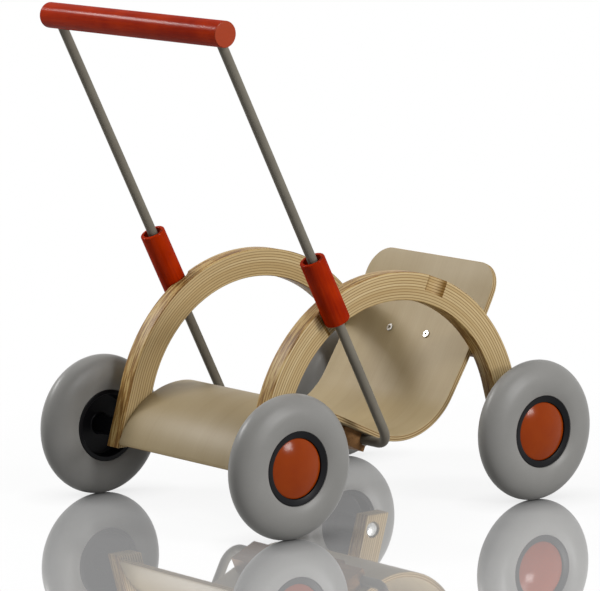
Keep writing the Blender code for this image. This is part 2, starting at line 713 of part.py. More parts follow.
def build_grip(pivot):
    half = LEG_Y + GRIP_OVERHANG
    edge = GRIP_RADIUS - GRIP_EDGE
    ends = [(0, half), (edge, half), (GRIP_RADIUS, half - GRIP_EDGE)]
    profile = ends + [(radius, -height) for radius, height in reversed(ends)]
    grip = as_part(turned("handle_grip", profile, SLEEVE_SIDES), RED_LACQUER)
    place(grip, pivot, (0, 0, HANDLE_REACH), (-math.pi / 2, 0, 0))
    for side, label in ((1, "left"), (-1, "right")):
        hole = rod_cutter(
            f"grip_hole_{label}",
            ROD_RADIUS + RUN_GAP,
            -GRIP_RADIUS - CUT_PAST,
            ROD_PAST_GRIP + SEAT_GAP,
            HARDWARE_SIDES,
        )
        place(hole, pivot, (0, side * LEG_Y, HANDLE_REACH))
        cut(grip, hole)


def build_sleeve(name, side, pivot):
    bore = ROD_RADIUS + SLIDE_GAP
    profile = [
        (SLEEVE_CUP_RADIUS, SLEEVE_LENGTH),
        (SLEEVE_RADIUS - SLEEVE_EDGE, SLEEVE_LENGTH),
        (SLEEVE_RADIUS, SLEEVE_LENGTH - SLEEVE_EDGE),
        (SLEEVE_RADIUS, SLEEVE_EDGE),
        (SLEEVE_RADIUS - SLEEVE_EDGE, 0),
        (bore, 0),
        (bore, SLEEVE_LENGTH - SLEEVE_CUP_DEPTH),
        (SLEEVE_CUP_RADIUS, SLEEVE_LENGTH - SLEEVE_CUP_DEPTH),
    ]
    sleeve = as_part(turned(name, profile, SLEEVE_SIDES, True), RED_LACQUER)
    seat = shoulder_reach(REAR_NOTCH_LEAN) + SEAT_GAP + SLEEVE_RADIUS * math.sin(NOTCH_PLAY)
    place(sleeve, pivot, (0, side * LEG_Y, seat))


def build_pram():
    root = add_empty("doll_pram_origin", None, (ORIGIN_SHIFT, 0, 0))
    arches = {1: build_arch("left_arch", 1, root), -1: build_arch("right_arch", -1, root)}
    for end, x in (("front", FRONT_AXLE_X), ("rear", REAR_AXLE_X)):
        for side, label in ((1, "left"), (-1, "right")):
            cut(arches[side], build_wheel(f"{end}_{label}", x, side, root))
    cut_notches(arches, root)

    shell = build_shell(root)
    back_centre = back_rail_centre()
    back_behind = (back_centre - BACK_CENTRE).normalized()
    back_tilt = math.atan2(-back_behind.y, back_behind.x)
    back_rail = build_rail("back_rail", back_centre, back_tilt, root, arches)
    build_rail("rear_rail", rear_rail_centre(), REAR_RAIL_ANGLE - math.pi, root, arches)
    back_point = BACK_CENTRE + BACK_RADIUS * back_behind
    build_screws("back", back_point, back_tilt - math.pi / 2, BACK_SCREW_Y, root, (shell, back_rail))
    pivot_block = build_pivot_block(root)
    block_point = PIVOT_FOOT - (BLOCK_BACK - BLOCK_SCREW_INSET) * SLOPE_DOWNHILL
    build_screws("block", block_point, SLOPE_ANGLE, BLOCK_SCREW_Y, root, (shell, pivot_block))

    pivot = add_empty("handle_pivot", root, in_3d(PIVOT), (0, -HANDLE_LEAN, 0))
    build_rod(pivot)
    build_grip(pivot)
    build_sleeve("left_sleeve", 1, pivot)
    build_sleeve("right_sleeve", -1, pivot)


for old in list(bpy.data.objects):
    bpy.data.objects.remove(old)
PARTS = new_collection("doll_pram")
CUTTERS = new_collection("cutters")
build_pram()
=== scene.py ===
import json
import math

import bmesh
import bpy
from mathutils import Matrix, Vector


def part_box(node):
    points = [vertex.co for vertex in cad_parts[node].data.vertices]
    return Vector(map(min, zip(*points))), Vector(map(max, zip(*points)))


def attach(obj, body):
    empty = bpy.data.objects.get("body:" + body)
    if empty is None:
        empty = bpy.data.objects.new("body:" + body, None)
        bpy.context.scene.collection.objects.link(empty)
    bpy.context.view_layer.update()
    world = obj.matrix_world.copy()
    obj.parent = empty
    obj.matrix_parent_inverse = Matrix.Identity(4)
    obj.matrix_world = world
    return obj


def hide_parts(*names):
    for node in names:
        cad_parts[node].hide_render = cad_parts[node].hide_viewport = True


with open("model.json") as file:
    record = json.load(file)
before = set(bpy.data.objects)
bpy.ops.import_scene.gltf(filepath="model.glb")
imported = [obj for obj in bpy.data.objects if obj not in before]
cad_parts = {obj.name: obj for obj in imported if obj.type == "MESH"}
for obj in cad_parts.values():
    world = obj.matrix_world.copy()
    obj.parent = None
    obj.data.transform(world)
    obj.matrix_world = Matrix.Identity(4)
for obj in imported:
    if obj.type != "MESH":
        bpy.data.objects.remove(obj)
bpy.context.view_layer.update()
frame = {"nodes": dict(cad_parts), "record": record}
scene = bpy.context.scene
scene.view_settings.view_transform = "Standard"
nodes = frame["nodes"]
joints = {joint["name"]: joint for joint in frame["record"]["behaviour"]["joints"]}
corners = ("front_left", "front_right", "rear_left", "rear_right")
sides = {"left": 1, "right": -1}
print("frame loaded:", len(nodes), "nodes")


# places and colours

def midBox(node):
    low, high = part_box(node)
    return (low + high) / 2


def heading(degrees):
    # a direction seen from the right side: 0 points forward, 90 up
    angle = math.radians(degrees)
    return Vector((math.cos(angle), 0.0, math.sin(angle)))


def axlePlace(corner):
    # lays a shape made round Z on the wheel's axle, with its upper end outwards
    side = sides[corner.split("_")[1]]
    turn = Matrix.Rotation(-side * math.pi / 2, 4, "X")
    return Matrix.Translation(joints[corner + "_wheel_spin"]["pos_m"]) @ turn


def srgb(*levels):
    # a colour as a photo editor shows it, turned into the linear values that sockets take
    linear = []
    for level in levels:
        share = level / 255
        linear.append(share / 12.92 if level <= 10 else ((share + 0.055) / 1.055) ** 2.4)
    return (*linear, 1.0)


# node helpers for materials

def startMaterial(name, **sockets):
    material = bpy.data.materials.new(name)
    material.use_nodes = True
    tree = material.node_tree
    shader = tree.nodes["Principled BSDF"]
    for key, value in sockets.items():
        shader.inputs[key.replace("_", " ")].default_value = value
    return material, tree, shader


def addNode(tree, kind, settings, feeds):
    node = tree.nodes.new(kind)
    for key, value in settings.items():
        setattr(node, key, value)
    for key, value in feeds.items():
        if isinstance(value, bpy.types.NodeSocket):
            tree.links.new(value, node.inputs[key])
        else:
            node.inputs[key].default_value = value
    return node


def calc(tree, operation, *values):
    feeds = dict(enumerate(values))
    return addNode(tree, "ShaderNodeMath", {"operation": operation}, feeds).outputs[0]


def weighed(tree, first, firstShare, second, secondShare):
    rest = calc(tree, "MULTIPLY", second, secondShare)
    return calc(tree, "MULTIPLY_ADD", first, firstShare, rest)


def objectPoint(tree):
    return addNode(tree, "ShaderNodeTexCoord", {}, {}).outputs["Object"]


def stored(tree, name):
    return addNode(tree, "ShaderNodeAttribute", {"attribute_name": name}, {}).outputs["Fac"]


def splitPoint(tree, point):
    return addNode(tree, "ShaderNodeSeparateXYZ", {}, {0: point}).outputs[:]


def joinPoint(tree, x, y, z):
    return addNode(tree, "ShaderNodeCombineXYZ", {}, {0: x, 1: y, 2: z}).outputs[0]


def stretched(tree, point, scale, turn=(0, 0, 0)):
    feeds = {"Vector": point, "Rotation": turn, "Scale": scale}
    return addNode(tree, "ShaderNodeMapping", {}, feeds).outputs[0]


def noise(tree, point, scale, detail=3.0, rough=0.5, distort=0.0):
    feeds = {"Vector": point, "Scale": scale, "Detail": detail}
    feeds.update({"Roughness": rough, "Distortion": distort})
    return addNode(tree, "ShaderNodeTexNoise", {}, feeds).outputs["Fac"]


def grained(tree, point, scale, detail=3.0, rough=0.5, distort=0.0):
    # noise with its own scale along each axis
    return noise(tree, stretched(tree, point, scale), 1.0, detail, rough, distort)


def ramp(tree, value, *stops):
    node = addNode(tree, "ShaderNodeValToRGB", {}, {"Fac": value})
    marks = node.color_ramp.elements
    while len(marks) < len(stops):
        marks.new(0.5)
    for mark, (place, colour) in zip(marks, stops):
        mark.position = place
        mark.color = colour if isinstance(colour, tuple) else (colour, colour, colour, 1.0)
    return node.outputs["Color"]


def blendColour(tree, amount, first, second, kind="MIX"):
    settings = {"data_type": "RGBA", "blend_type": kind, "clamp_factor": True}
    return addNode(tree, "ShaderNodeMix", settings, {0: amount, 6: first, 7: second}).outputs[2]


def remap(tree, value, low, high, start=0.0, stop=1.0):
    feeds = {"Value": value, "From Min": start, "From Max": stop, "To Min": low, "To Max": high}
    return addNode(tree, "ShaderNodeMapRange", {}, feeds).outputs[0]


def feed(tree, shader, **sockets):
    for key, value in sockets.items():
        tree.links.new(value, shader.inputs[key.replace("_", " ")])


def bumped(tree, shader, height, strength, distance):
    feeds = {"Height": height, "Strength": strength, "Distance": distance}
    bump = addNode(tree, "ShaderNodeBump", {}, feeds).outputs[0]
    feed(tree, shader, Normal=bump)
    return bump


# mesh helpers

meshing = {
    "mergeGap": 1e-6,
    "cornerSteps": 5,
    "cornerShare": 0.49,  # the most of a line that a rounded corner may take
    "turnSteps": 96,
    "bevelSteps": 3,
    "crease": 32,  # degrees, above which an edge shows as sharp
}


def softened(points):
    # rounds a profile: each point is (radius, height, corner), and corner 0 stays sharp
    path = []
    for i, (r, z, corner) in enumerate(points):
        here = Vector((r, z))
        if not corner or i in (0, len(points) - 1):
            path.append(here)
            continue
        before = Vector(points[i - 1][:2]) - here
        after = Vector(points[i + 1][:2]) - here
        half = before.angle(after) / 2
        most = meshing["cornerShare"]
        back = min(corner / math.tan(half), before.length * most, after.length * most)
        first = here + before.normalized() * back
        last = here + after.normalized() * back
        for step in range(meshing["cornerSteps"] + 1):
            t = step / meshing["cornerSteps"]
            path.append(first * (1 - t) ** 2 + here * 2 * t * (1 - t) + last * t**2)
    return path


def mergeDoubles(bm):
    bmesh.ops.remove_doubles(bm, verts=bm.verts, dist=meshing["mergeGap"])


def turned(profile, steps=meshing["turnSteps"]):
    # spins a profile of (radius, height) round Z
    bm = bmesh.new()
    line = [bm.verts.new((p[0], 0.0, p[1])) for p in profile]
    edges = [bm.edges.new(pair) for pair in zip(line, line[1:])]
    turn = {"cent": (0, 0, 0), "axis": (0, 0, 1), "angle": 2 * math.pi}
    bmesh.ops.spin(bm, geom=line + edges, steps=steps, use_merge=True, **turn)
    mergeDoubles(bm)
    return bm


def onlyKind(items, kind):
    return [item for item in items if isinstance(item, kind)]


def vertsOf(edges):
    return list({v for edge in edges for v in edge.verts})


def edgesOf(verts):
    return list({edge for v in verts for edge in v.link_edges})


def pullEdges(bm, edges, move):
    made = bmesh.ops.extrude_edge_only(bm, edges=edges)["geom"]
    bmesh.ops.translate(bm, verts=onlyKind(made, bmesh.types.BMVert), vec=move)
    return onlyKind(made, bmesh.types.BMEdge)


def swingEdges(bm, edges, centre, axis, degrees, steps):
    turn = {"cent": centre, "axis": axis, "angle": math.radians(degrees), "steps": steps}
    made = bmesh.ops.spin(bm, geom=vertsOf(edges) + list(edges), **turn)["geom_last"]
    return onlyKind(made, bmesh.types.BMEdge)


def closeHoles(bm):
    bmesh.ops.holes_fill(bm, edges=[edge for edge in bm.edges if edge.is_boundary])


def foldedEdges(bm, degrees):
    least = math.radians(degrees)
    return [edge for edge in bm.edges if edge.is_manifold and edge.calc_face_angle() > least]


def bevelEdges(bm, edges, size):
    shape = {"segments": meshing["bevelSteps"], "profile": 0.5, "material": -1}
    bmesh.ops.bevel(bm, geom=edges, offset=size, offset_type="OFFSET", affect="EDGES", **shape)


def roundCorners(bm, verts, size, steps):
    shape = {"segments": steps, "profile": 0.5, "material": -1}
    bmesh.ops.bevel(bm, geom=verts, offset=size, affect="VERTICES", **shape)


def smoothMesh(mesh, crease):
    mesh.shade_smooth()
    mesh.set_sharp_from_angle(angle=math.radians(crease))


def toMesh(bm, name, crease=meshing["crease"]):
    mergeDoubles(bm)
    bmesh.ops.recalc_face_normals(bm, faces=bm.faces)
    mesh = bpy.data.meshes.new(name)
    bm.to_mesh(mesh)
    bm.free()
    smoothMesh(mesh, crease)
    return mesh


def addPiece(mesh, body, materials, node):
    piece = bpy.data.objects.new(mesh.name, mesh)
    scene.collection.objects.link(piece)
    for material in materials:
        mesh.materials.append(material)
    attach(piece, body)
    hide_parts(node)


# places on the handle, which other pieces need too

handle = {
    "rod": 0.0052,
    "bend": 0.0200,
    "past": 0.0040,  # how far the legs reach into the grip beyond its middle
    "roundSteps": 28,
    "bendSteps": 16,
}
pivot = Vector(joints["handle_swing"]["pos_m"])
legUp = Vector(joints["left_sleeve_slide"]["axis"])
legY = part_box("handle_rod")[1].y - handle["rod"]
gripCentre = midBox("handle_grip")
upward = Vector((0, 0, 1))
across = Vector((0, 1, 0))
legTurn = upward.rotation_difference(legUp).to_matrix().to_4x4()


# finishes: noise in waves per metre, "rough" from lowest to highest, "bump" strength and depth

rubber = {
    "light": srgb(134, 133, 130),
    "dark": srgb(129, 128, 125),
    "clouds": 22.0,
    "grain": 1500.0,
    "specks": 0.97,
    "rough": (0.33, 0.4),
    "bump": (0.06, 0.0002),
}


def makeTyreRubber():
    material, tree, shader = startMaterial("tyre_rubber", Roughness=0.36, Specular_IOR_Level=0.2)
    point = objectPoint(tree)
    cloud = noise(tree, point, rubber["clouds"], detail=4.0, rough=0.6)
    fine = noise(tree, point, rubber["grain"], detail=2.0)
    colour = ramp(tree, cloud, (0.3, rubber["dark"]), (0.7, rubber["light"]))
    speck = ramp(tree, fine, (0.35, rubber["specks"]), (0.65, 1.0))
    feed(tree, shader, Base_Color=blendColour(tree, 1.0, colour, speck, "MULTIPLY"))
    feed(tree, shader, Roughness=remap(tree, cloud, *rubber["rough"]))
    bumped(tree, shader, fine, *rubber["bump"])
    return material


hubFinish = {
    "tones": ((0.35, srgb(13, 13, 15)), (0.75, srgb(18, 18, 21))),
    "clouds": 60.0,
    "grain": 1400.0,
    "grainRough": 0.5,
    "roughBy": "grain",
    "rough": (0.26, 0.4),
    "bump": (0.1, 0.0002),
}
capFinish = {
    "tones": ((0.3, srgb(134, 49, 3)), (0.7, srgb(141, 55, 4))),
    "clouds": 45.0,
    "grain": 260.0,
    "grainRough": 0.5,
    "roughBy": "clouds",
    "rough": (0.12, 0.18),
    "bump": (0.04, 0.0005),
}
rodFinish = {
    "tones": ((0.3, srgb(110, 105, 95)), (0.7, srgb(118, 113, 102))),
    "clouds": 35.0,
    "grain": 2200.0,
    "grainRough": 0.6,
    "roughBy": "grain",
    "rough": (0.36, 0.52),
    "bump": (0.05, 0.0001),
}


def makeEven(name, finish, **gloss):
    # moulded plastic or powder coat: faint clouds of colour under a fine grain
    material, tree, shader = startMaterial(name, **gloss)
    point = objectPoint(tree)
    cloud = noise(tree, point, finish["clouds"])
    grain = noise(tree, point, finish["grain"], detail=2.0, rough=finish["grainRough"])
    worn = grain if finish["roughBy"] == "grain" else cloud
    feed(tree, shader, Base_Color=ramp(tree, cloud, *finish["tones"]))
    feed(tree, shader, Roughness=remap(tree, worn, *finish["rough"]))
    bumped(tree, shader, grain, *finish["bump"])
    return material


lacquer = {
    "colour": srgb(166, 44, 3),
    "deep": srgb(134, 25, 1),
    "endGrain": srgb(156, 70, 46),
    "endDepth": 0.0006,
    "endRings": 900.0,
    "endPale": (0.4, 1.0),
    "streaks": 420.0,
    "streakSlim": (1.0, 1.0, 0.06),
    "streakShare": 0.45,
    "clouds": 30.0,
    "cloudShare": 0.55,
    "gripCoat": 0.13,
    "sleeveCoat": 0.08,
    "coatRough": 0.2,
    "rough": (0.14, 0.22),
    "bump": (0.03, 0.0002),
}


def makeLacquer(name, along, reach, coat):
    # red lacquer on turned wood: the grain runs along the piece and shows faintly through the
    # clear coat, and past reach, on a cut end, the lacquer has sunk in and looks paler
    gloss = {"Coat_Weight": coat, "Coat_Roughness": lacquer["coatRough"]}
    material, tree, shader = startMaterial(name, Specular_IOR_Level=0.0, **gloss)
    turn = upward.rotation_difference(along).inverted().to_euler()
    point = stretched(tree, objectPoint(tree), (1, 1, 1), turn)
    slim = stretched(tree, point, lacquer["streakSlim"])
    streak = noise(tree, slim, lacquer["streaks"], detail=4.0, rough=0.6)
    cloud = noise(tree, point, lacquer["clouds"])
    mixed = weighed(tree, streak, lacquer["streakShare"], cloud, lacquer["cloudShare"])
    colour = ramp(tree, mixed, (0.34, lacquer["deep"]), (0.64, lacquer["colour"]))
    outward = calc(tree, "ABSOLUTE", splitPoint(tree, point)[2])
    ends = calc(tree, "GREATER_THAN", outward, reach - lacquer["endDepth"])
    rings = noise(tree, point, lacquer["endRings"], rough=0.6)
    pale = remap(tree, rings, *lacquer["endPale"])
    endColour = blendColour(tree, pale, colour, lacquer["endGrain"])
    feed(tree, shader, Base_Color=blendColour(tree, ends, colour, endColour))
    feed(tree, shader, Roughness=remap(tree, cloud, *lacquer["rough"]))
    feed(tree, shader, Coat_Normal=bumped(tree, shader, streak, *lacquer["bump"]))
    return material


steelFinish = {
    "colour": srgb(206, 206, 204),
    "dull": srgb(170, 170, 168),
    "clouds": 380.0,
    "scratches": 2600.0,
    "scratchSlim": (1, 0.05, 1),
    "rough": (0.2, 0.4),
    "bump": (0.05, 0.0001),
}


def makeZincSteel():
    material, tree, shader = startMaterial("zinc_steel", Metallic=1.0, Roughness=0.28)
    point = objectPoint(tree)
    cloud = noise(tree, point, steelFinish["clouds"], detail=4.0)
    slim = stretched(tree, point, steelFinish["scratchSlim"])
    scratch = noise(tree, slim, steelFinish["scratches"], detail=2.0)
    colour = ramp(tree, cloud, (0.3, steelFinish["dull"]), (0.7, steelFinish["colour"]))
    feed(tree, shader, Base_Color=colour, Roughness=remap(tree, scratch, *steelFinish["rough"]))
    bumped(tree, shader, scratch, *steelFinish["bump"])
    return material


nylonFinish = {
    "colour": srgb(226, 223, 214),
    "shade": srgb(210, 206, 195),
    "clouds": 160.0,
    "bump": (0.06, 0.0003),
}


def makeNylon():
    glow = {"Subsurface_Weight": 0.1, "Subsurface_Scale": 0.002}
    material, tree, shader = startMaterial("nylon", Roughness=0.45, **glow)
    cloud = noise(tree, objectPoint(tree), nylonFinish["clouds"])
    colour = ramp(tree, cloud, (0.3, nylonFinish["shade"]), (0.7, nylonFinish["colour"]))
    feed(tree, shader, Base_Color=colour)
    bumped(tree, shader, cloud, *nylonFinish["bump"])
    return material


beechFinish = {
    "light": srgb(146, 108, 70),
    "dark": srgb(116, 82, 50),
    "bands": 150.0,
    "bandSlim": (1.0, 0.07, 1.0),
    "flecks": 700.0,
    "fleckSlim": (1.0, 0.12, 1.0),
    "fleckShade": 0.82,
    "rough": (0.48, 0.62),
    "bump": (0.12, 0.0003),
}


def makeBeech():
    # solid beech with its grain along Y, as the rails, dowels and pivot block lie
    material, tree, shader = startMaterial("beech", Roughness=0.55, Specular_IOR_Level=0.08)
    point = objectPoint(tree)
    wide = stretched(tree, point, beechFinish["bandSlim"])
    bands = noise(tree, wide, beechFinish["bands"], detail=4.0, rough=0.6, distort=0.4)
    slim = stretched(tree, point, beechFinish["fleckSlim"])
    flecks = noise(tree, slim, beechFinish["flecks"], detail=2.0)
    colour = ramp(tree, bands, (0.3, beechFinish["dark"]), (0.7, beechFinish["light"]))
    dots = ramp(tree, flecks, (0.3, beechFinish["fleckShade"]), (0.45, 1.0))
    feed(tree, shader, Base_Color=blendColour(tree, 0.8, colour, dots, "MULTIPLY"))
    feed(tree, shader, Roughness=remap(tree, bands, *beechFinish["rough"]))
    bumped(tree, shader, flecks, *beechFinish["bump"])
    return material


tyreRubber = makeTyreRubber()
hubPlastic = makeEven("hub_plastic", hubFinish, Roughness=0.32, Specular_IOR_Level=0.1)
capPlastic = makeEven("cap_plastic", capFinish, Roughness=0.14, Specular_IOR_Level=0.1)
powderCoat = makeEven("powder_coat", rodFinish, Roughness=0.42, Specular_IOR_Level=0.08)
zincSteel = makeZincSteel()
nylon = makeNylon()
beech = makeBeech()
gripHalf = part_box("handle_grip")[1].y
noCutEnds = 1.0  # a reach beyond the pram, as the sleeves' ends are lacquered like their sides
gripLacquer = makeLacquer("grip_lacquer", across, gripHalf, lacquer["gripCoat"])
sleeveLacquer = makeLacquer("sleeve_lacquer", legUp, noCutEnds, lacquer["sleeveCoat"])
print("finishes made")


# wheels: tyre, hub, cap, bush, washer and bolt, all turned round the axle
# heights run along the axle from the middle of the tyre, and outwards is up

wheel = {
    "radius": 0.07498,
    "halfWidth": 0.0176,
    "tyreSteps": 48,
    "rimHalf": 0.0147,
    "rim": 0.0385,
    "lip": 0.0014,
    "lipWidth": 0.0050,
    "gap": 0.0003,  # round the hub under the tyre, and round the cap
}
hub = {
    "ringSlope": 0.0016,
    "mouthWall": 0.0012,
    "dishWall": 0.0035,
    "dishDraft": 0.0012,
    "web": 0.0005,
    "barrelRoot": 0.0108,
    "barrelTip": 0.0096,
    "barrelEnd": -0.0337,
    "bore": 0.0073,
    "cup": 0.0292,
    "cupFloor": 0.0050,
    "capSeat": 0.0018,  # below the cap's edge
    "edge": 0.0008,
    "fineEdge": 0.0006,
    "fillet": 0.002,
}
cap = {
    "radius": 0.0311,
    "edge": 0.0115,
    "top": 0.0172,
    "domeSteps": 20,
    "band": 0.0015,
    "bandEdge": 0.0008,
    "underEdge": 0.0003,
    "wall": 0.002,
    "skirtOuter": 0.0289,
    "skirtInner": 0.0269,
    "skirtEnd": 0.0053,
}


def tyreProfile():
    rim, half = wheel["rim"] + wheel["gap"], wheel["halfWidth"]
    flank = math.acos(wheel["rimHalf"] / half)
    tall = (wheel["radius"] - rim) / (1 + math.sin(flank))
    points = []
    for i in range(wheel["tyreSteps"] + 1):
        angle = -flank + (math.pi + 2 * flank) * i / wheel["tyreSteps"]
        points.append((wheel["radius"] - tall + tall * math.sin(angle), half * math.cos(angle)))
    bed = rim - wheel["lip"]
    inside = wheel["rimHalf"] - wheel["lipWidth"]
    return points + [(bed, -inside), (bed, inside), points[0]]


def hubProfile():
    half, rim, mouth = wheel["rimHalf"], wheel["rim"], cap["radius"] + wheel["gap"]
    bed = rim - wheel["lip"]
    inside = half - wheel["lipWidth"]
    ring = half - hub["ringSlope"]
    dish = bed - hub["dishWall"]
    seat = cap["edge"] - hub["capSeat"]
    edge, fine, fillet = hub["edge"], hub["fineEdge"], hub["fillet"]
    web, end, bore = hub["web"], hub["barrelEnd"], hub["bore"]
    cup, floor = hub["cup"], hub["cupFloor"]
    start = (mouth, ring - hub["mouthWall"], 0)
    points = [
        (mouth, ring, fine), (rim, half, edge), (bed, inside, 0), (bed, -inside, 0),
        (rim, -half, edge), (dish, -half, edge), (dish - hub["dishDraft"], web, fillet),
        (hub["barrelRoot"], web, fillet), (hub["barrelTip"], end, fine), (bore, end, 0),
        (bore, floor, 0), (cup, floor, 0), (cup, seat, 0), (mouth, seat, 0),
    ]
    return softened([start, *points, start])


def capProfile():
    edge, top, radius = cap["edge"], cap["top"], cap["radius"]
    rise = top - edge
    ball = (radius**2 + rise**2) / (2 * rise)
    half = math.asin(radius / ball)
    points = []
    for i in range(cap["domeSteps"]):
        angle = half * i / cap["domeSteps"]
        points.append((ball * math.sin(angle), top - ball + ball * math.cos(angle), 0))
    under = edge - cap["band"]
    outer, inner, end = cap["skirtOuter"], cap["skirtInner"], cap["skirtEnd"]
    points += [
        (radius, edge, cap["bandEdge"]), (radius, under, cap["underEdge"]), (outer, under, 0),
        (outer, end, 0), (inner, end, 0), (inner, under, 0), (0.0, top - cap["wall"], 0),
    ]
    return softened(points)


bolt = {
    "shank": 0.0040,
    "end": 0.0137,
    "tip": 0.0032,
    "tipLength": 0.001,
    "tipEdge": 0.0002,
    "head": 0.0090,
    "headHeight": 0.0045,
    "headUnder": 0.0003,
    "headRim": 0.0011,
    "headEdge": 0.0006,
    "domeFoot": 0.0012,
    "domeSteps": 8,
    "inner": -0.0563,
    "bore": 0.0043,  # the hole for it in the arch
    "boreUnder": 0.001,  # how far the hole starts below the head's seat
    "boreEnd": -0.03,
    "gap": 0.0003,
    "sinkLength": 0.01,
}
bush = {"outer": 0.0070, "bore": 0.0043, "high": 0.0054, "low": -0.0341, "edge": 0.0005}
washer = {"outer": 0.0090, "bore": 0.0043, "high": -0.0344, "low": -0.0360, "edge": 0.0004}


def boltProfile():
    shank, end, head, inner = bolt["shank"], bolt["end"], bolt["head"], bolt["inner"]
    seat = inner + bolt["headHeight"]
    points = [(0, end, 0), (bolt["tip"], end, bolt["tipEdge"]), (shank, end - bolt["tipLength"], 0)]
    points += [(shank, seat, 0), (head, seat, bolt["headUnder"])]
    points.append((head, seat - bolt["headRim"], bolt["headEdge"]))
    foot = bolt["domeFoot"]
    for i in range(1, bolt["domeSteps"] + 1):
        angle = math.pi / 2 * i / bolt["domeSteps"]
        height = seat - foot + (inner - seat + foot) * math.sin(angle)
        points.append((head * math.cos(angle), height, 0))
    return softened(points)


def ringProfile(ring):
    outer, bore, edge = ring["outer"], ring["bore"], ring["edge"]
    high, low = ring["high"], ring["low"]
    start = (bore, (high + low) / 2, 0)
    points = [(bore, high, edge), (outer, high, edge), (outer, low, edge), (bore, low, edge)]
    return softened([start, *points, start])


def buildWheels():
    shapes = (
        # part, profile, material, slot, steps round, crease angle
        ("tyre", tyreProfile(), tyreRubber, "grey_tyre", 128, 40),
        ("hub", hubProfile(), hubPlastic, "black_hub", 96, 32),
        ("hubcap", capProfile(), capPlastic, "red_cap", 96, 32),
        ("bush", ringProfile(bush), nylon, "nylon", 48, 32),
        ("washer", ringProfile(washer), zincSteel, "zinc_steel", 48, 32),
        ("axle_bolt", boltProfile(), zincSteel, "zinc_steel", 48, 32),
    )
    for corner in corners:
        place = axlePlace(corner)
        spinning = joints[corner + "_wheel_spin"]["child"]
        for part, profile, material, slotName, steps, crease in shapes:
            bm = turned(profile, steps)
            bmesh.ops.transform(bm, matrix=place, verts=bm.verts)
            mesh = toMesh(bm, f"{corner}_{part}_round", crease)
            body = "frame" if part in ("washer", "axle_bolt") else spinning
            addPiece(mesh, body, [material], f"{corner}_{part}")
        nodes[corner + "_lock_nut"].data.materials[0] = zincSteel


buildWheels()
print("wheels turned")


# laminated arches

arch = {
    "radius": 0.1748,
    "thick": 0.0296,
    "width": 0.0200,
    "edge": 0.0012,
    "edgeFold": 40,  # degrees, above which an edge is rounded
    "splay": 16.0,
    "bendSteps": 120,
    "legDrop": 0.09,  # below the bend, before the feet are cut level
    "layers": 10,
    "notchRadius": 0.0164,
    "notchDepth": 0.0178,  # along the leg, from the outside down to the shoulder
    "notchCut": 0.06,
    "wallSlack": 0.0003,  # how near to a notch's wall or shoulder a face counts as its own
    "shoulderSlack": 0.0002,
    "rearLean": -26.35,
    "frontLean": 24.0,
}
archLow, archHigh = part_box("right_arch")
archCentre = Vector(((archLow.x + archHigh.x) / 2, 0.0, archHigh.z - arch["radius"]))
notchLeans = (arch["rearLean"], arch["frontLean"])
wood = {
    "pale": srgb(198, 177, 136),
    "gold": srgb(185, 162, 119),
    "brown": srgb(172, 146, 102),
    "glue": srgb(126, 98, 57),
    "glueWidth": 0.14,  # share of a layer, on each side of the joint
    "glueDent": 0.5,
    "skin": 0.0009,  # depth of the outermost veneer
    "skinPale": srgb(180, 153, 100),
    "skinTan": srgb(142, 106, 54),
    "skinBrown": srgb(106, 74, 32),
    "cutFloor": (0.97, 0.92, 0.84, 1.0),  # share of the colour left at the bottom of a notch
    "cutLip": (0.48, 0.36, 0.19, 1.0),  # and on its steep sides, whose end grain takes in lacquer and looks warmer; most of the darkening there is painted shade
    # waves per metre along the bend, through the layers and across the arch
    "wander": (14.0, 300.0, 60.0),
    "streaks": (9.0, 900.0, 420.0),
    "broad": (5.0, 160.0, 110.0),
    "pores": (60.0, 4200.0, 2600.0),
    "skinGrain": (20.0, 1.0, 300.0),
    "wanderShare": 0.2,
    "streakShare": 0.5,
    "broadShare": 0.36,
    "layerShare": 0.14,
    "sideShift": 37.0,  # gives the left arch other layers than the right one
    "layerShift": 0.11,  # and each layer its own grain
    "poreShade": 0.74,
    "rough": (0.36, 0.5),
    "bump": (0.12, 0.0004),
}


def alongBend(tree, x, z):
    # follows the bend of the arch: how far along from its crown, and how far out from its centre
    dx = calc(tree, "SUBTRACT", x, archCentre.x)
    dz = calc(tree, "SUBTRACT", z, archCentre.z)
    beside = calc(tree, "ABSOLUTE", dx)
    ray = heading(arch["splay"])
    out = weighed(tree, beside, ray.x, dz, ray.z)
    up = weighed(tree, dz, ray.x, beside, -ray.z)
    over = calc(tree, "MAXIMUM", up, 0.0)
    square = calc(tree, "MULTIPLY_ADD", over, over, calc(tree, "MULTIPLY", out, out))
    deep = calc(tree, "SQRT", square)
    middle = arch["radius"] - arch["thick"] / 2
    angle = calc(tree, "ARCTAN2", over, out)
    length = calc(tree, "MULTIPLY_ADD", angle, middle, calc(tree, "MINIMUM", up, 0.0))
    crown = middle * math.radians(90 - arch["splay"])
    fromCrown = calc(tree, "SUBTRACT", crown, length)
    return calc(tree, "MULTIPLY", calc(tree, "SIGN", dx), fromCrown), deep


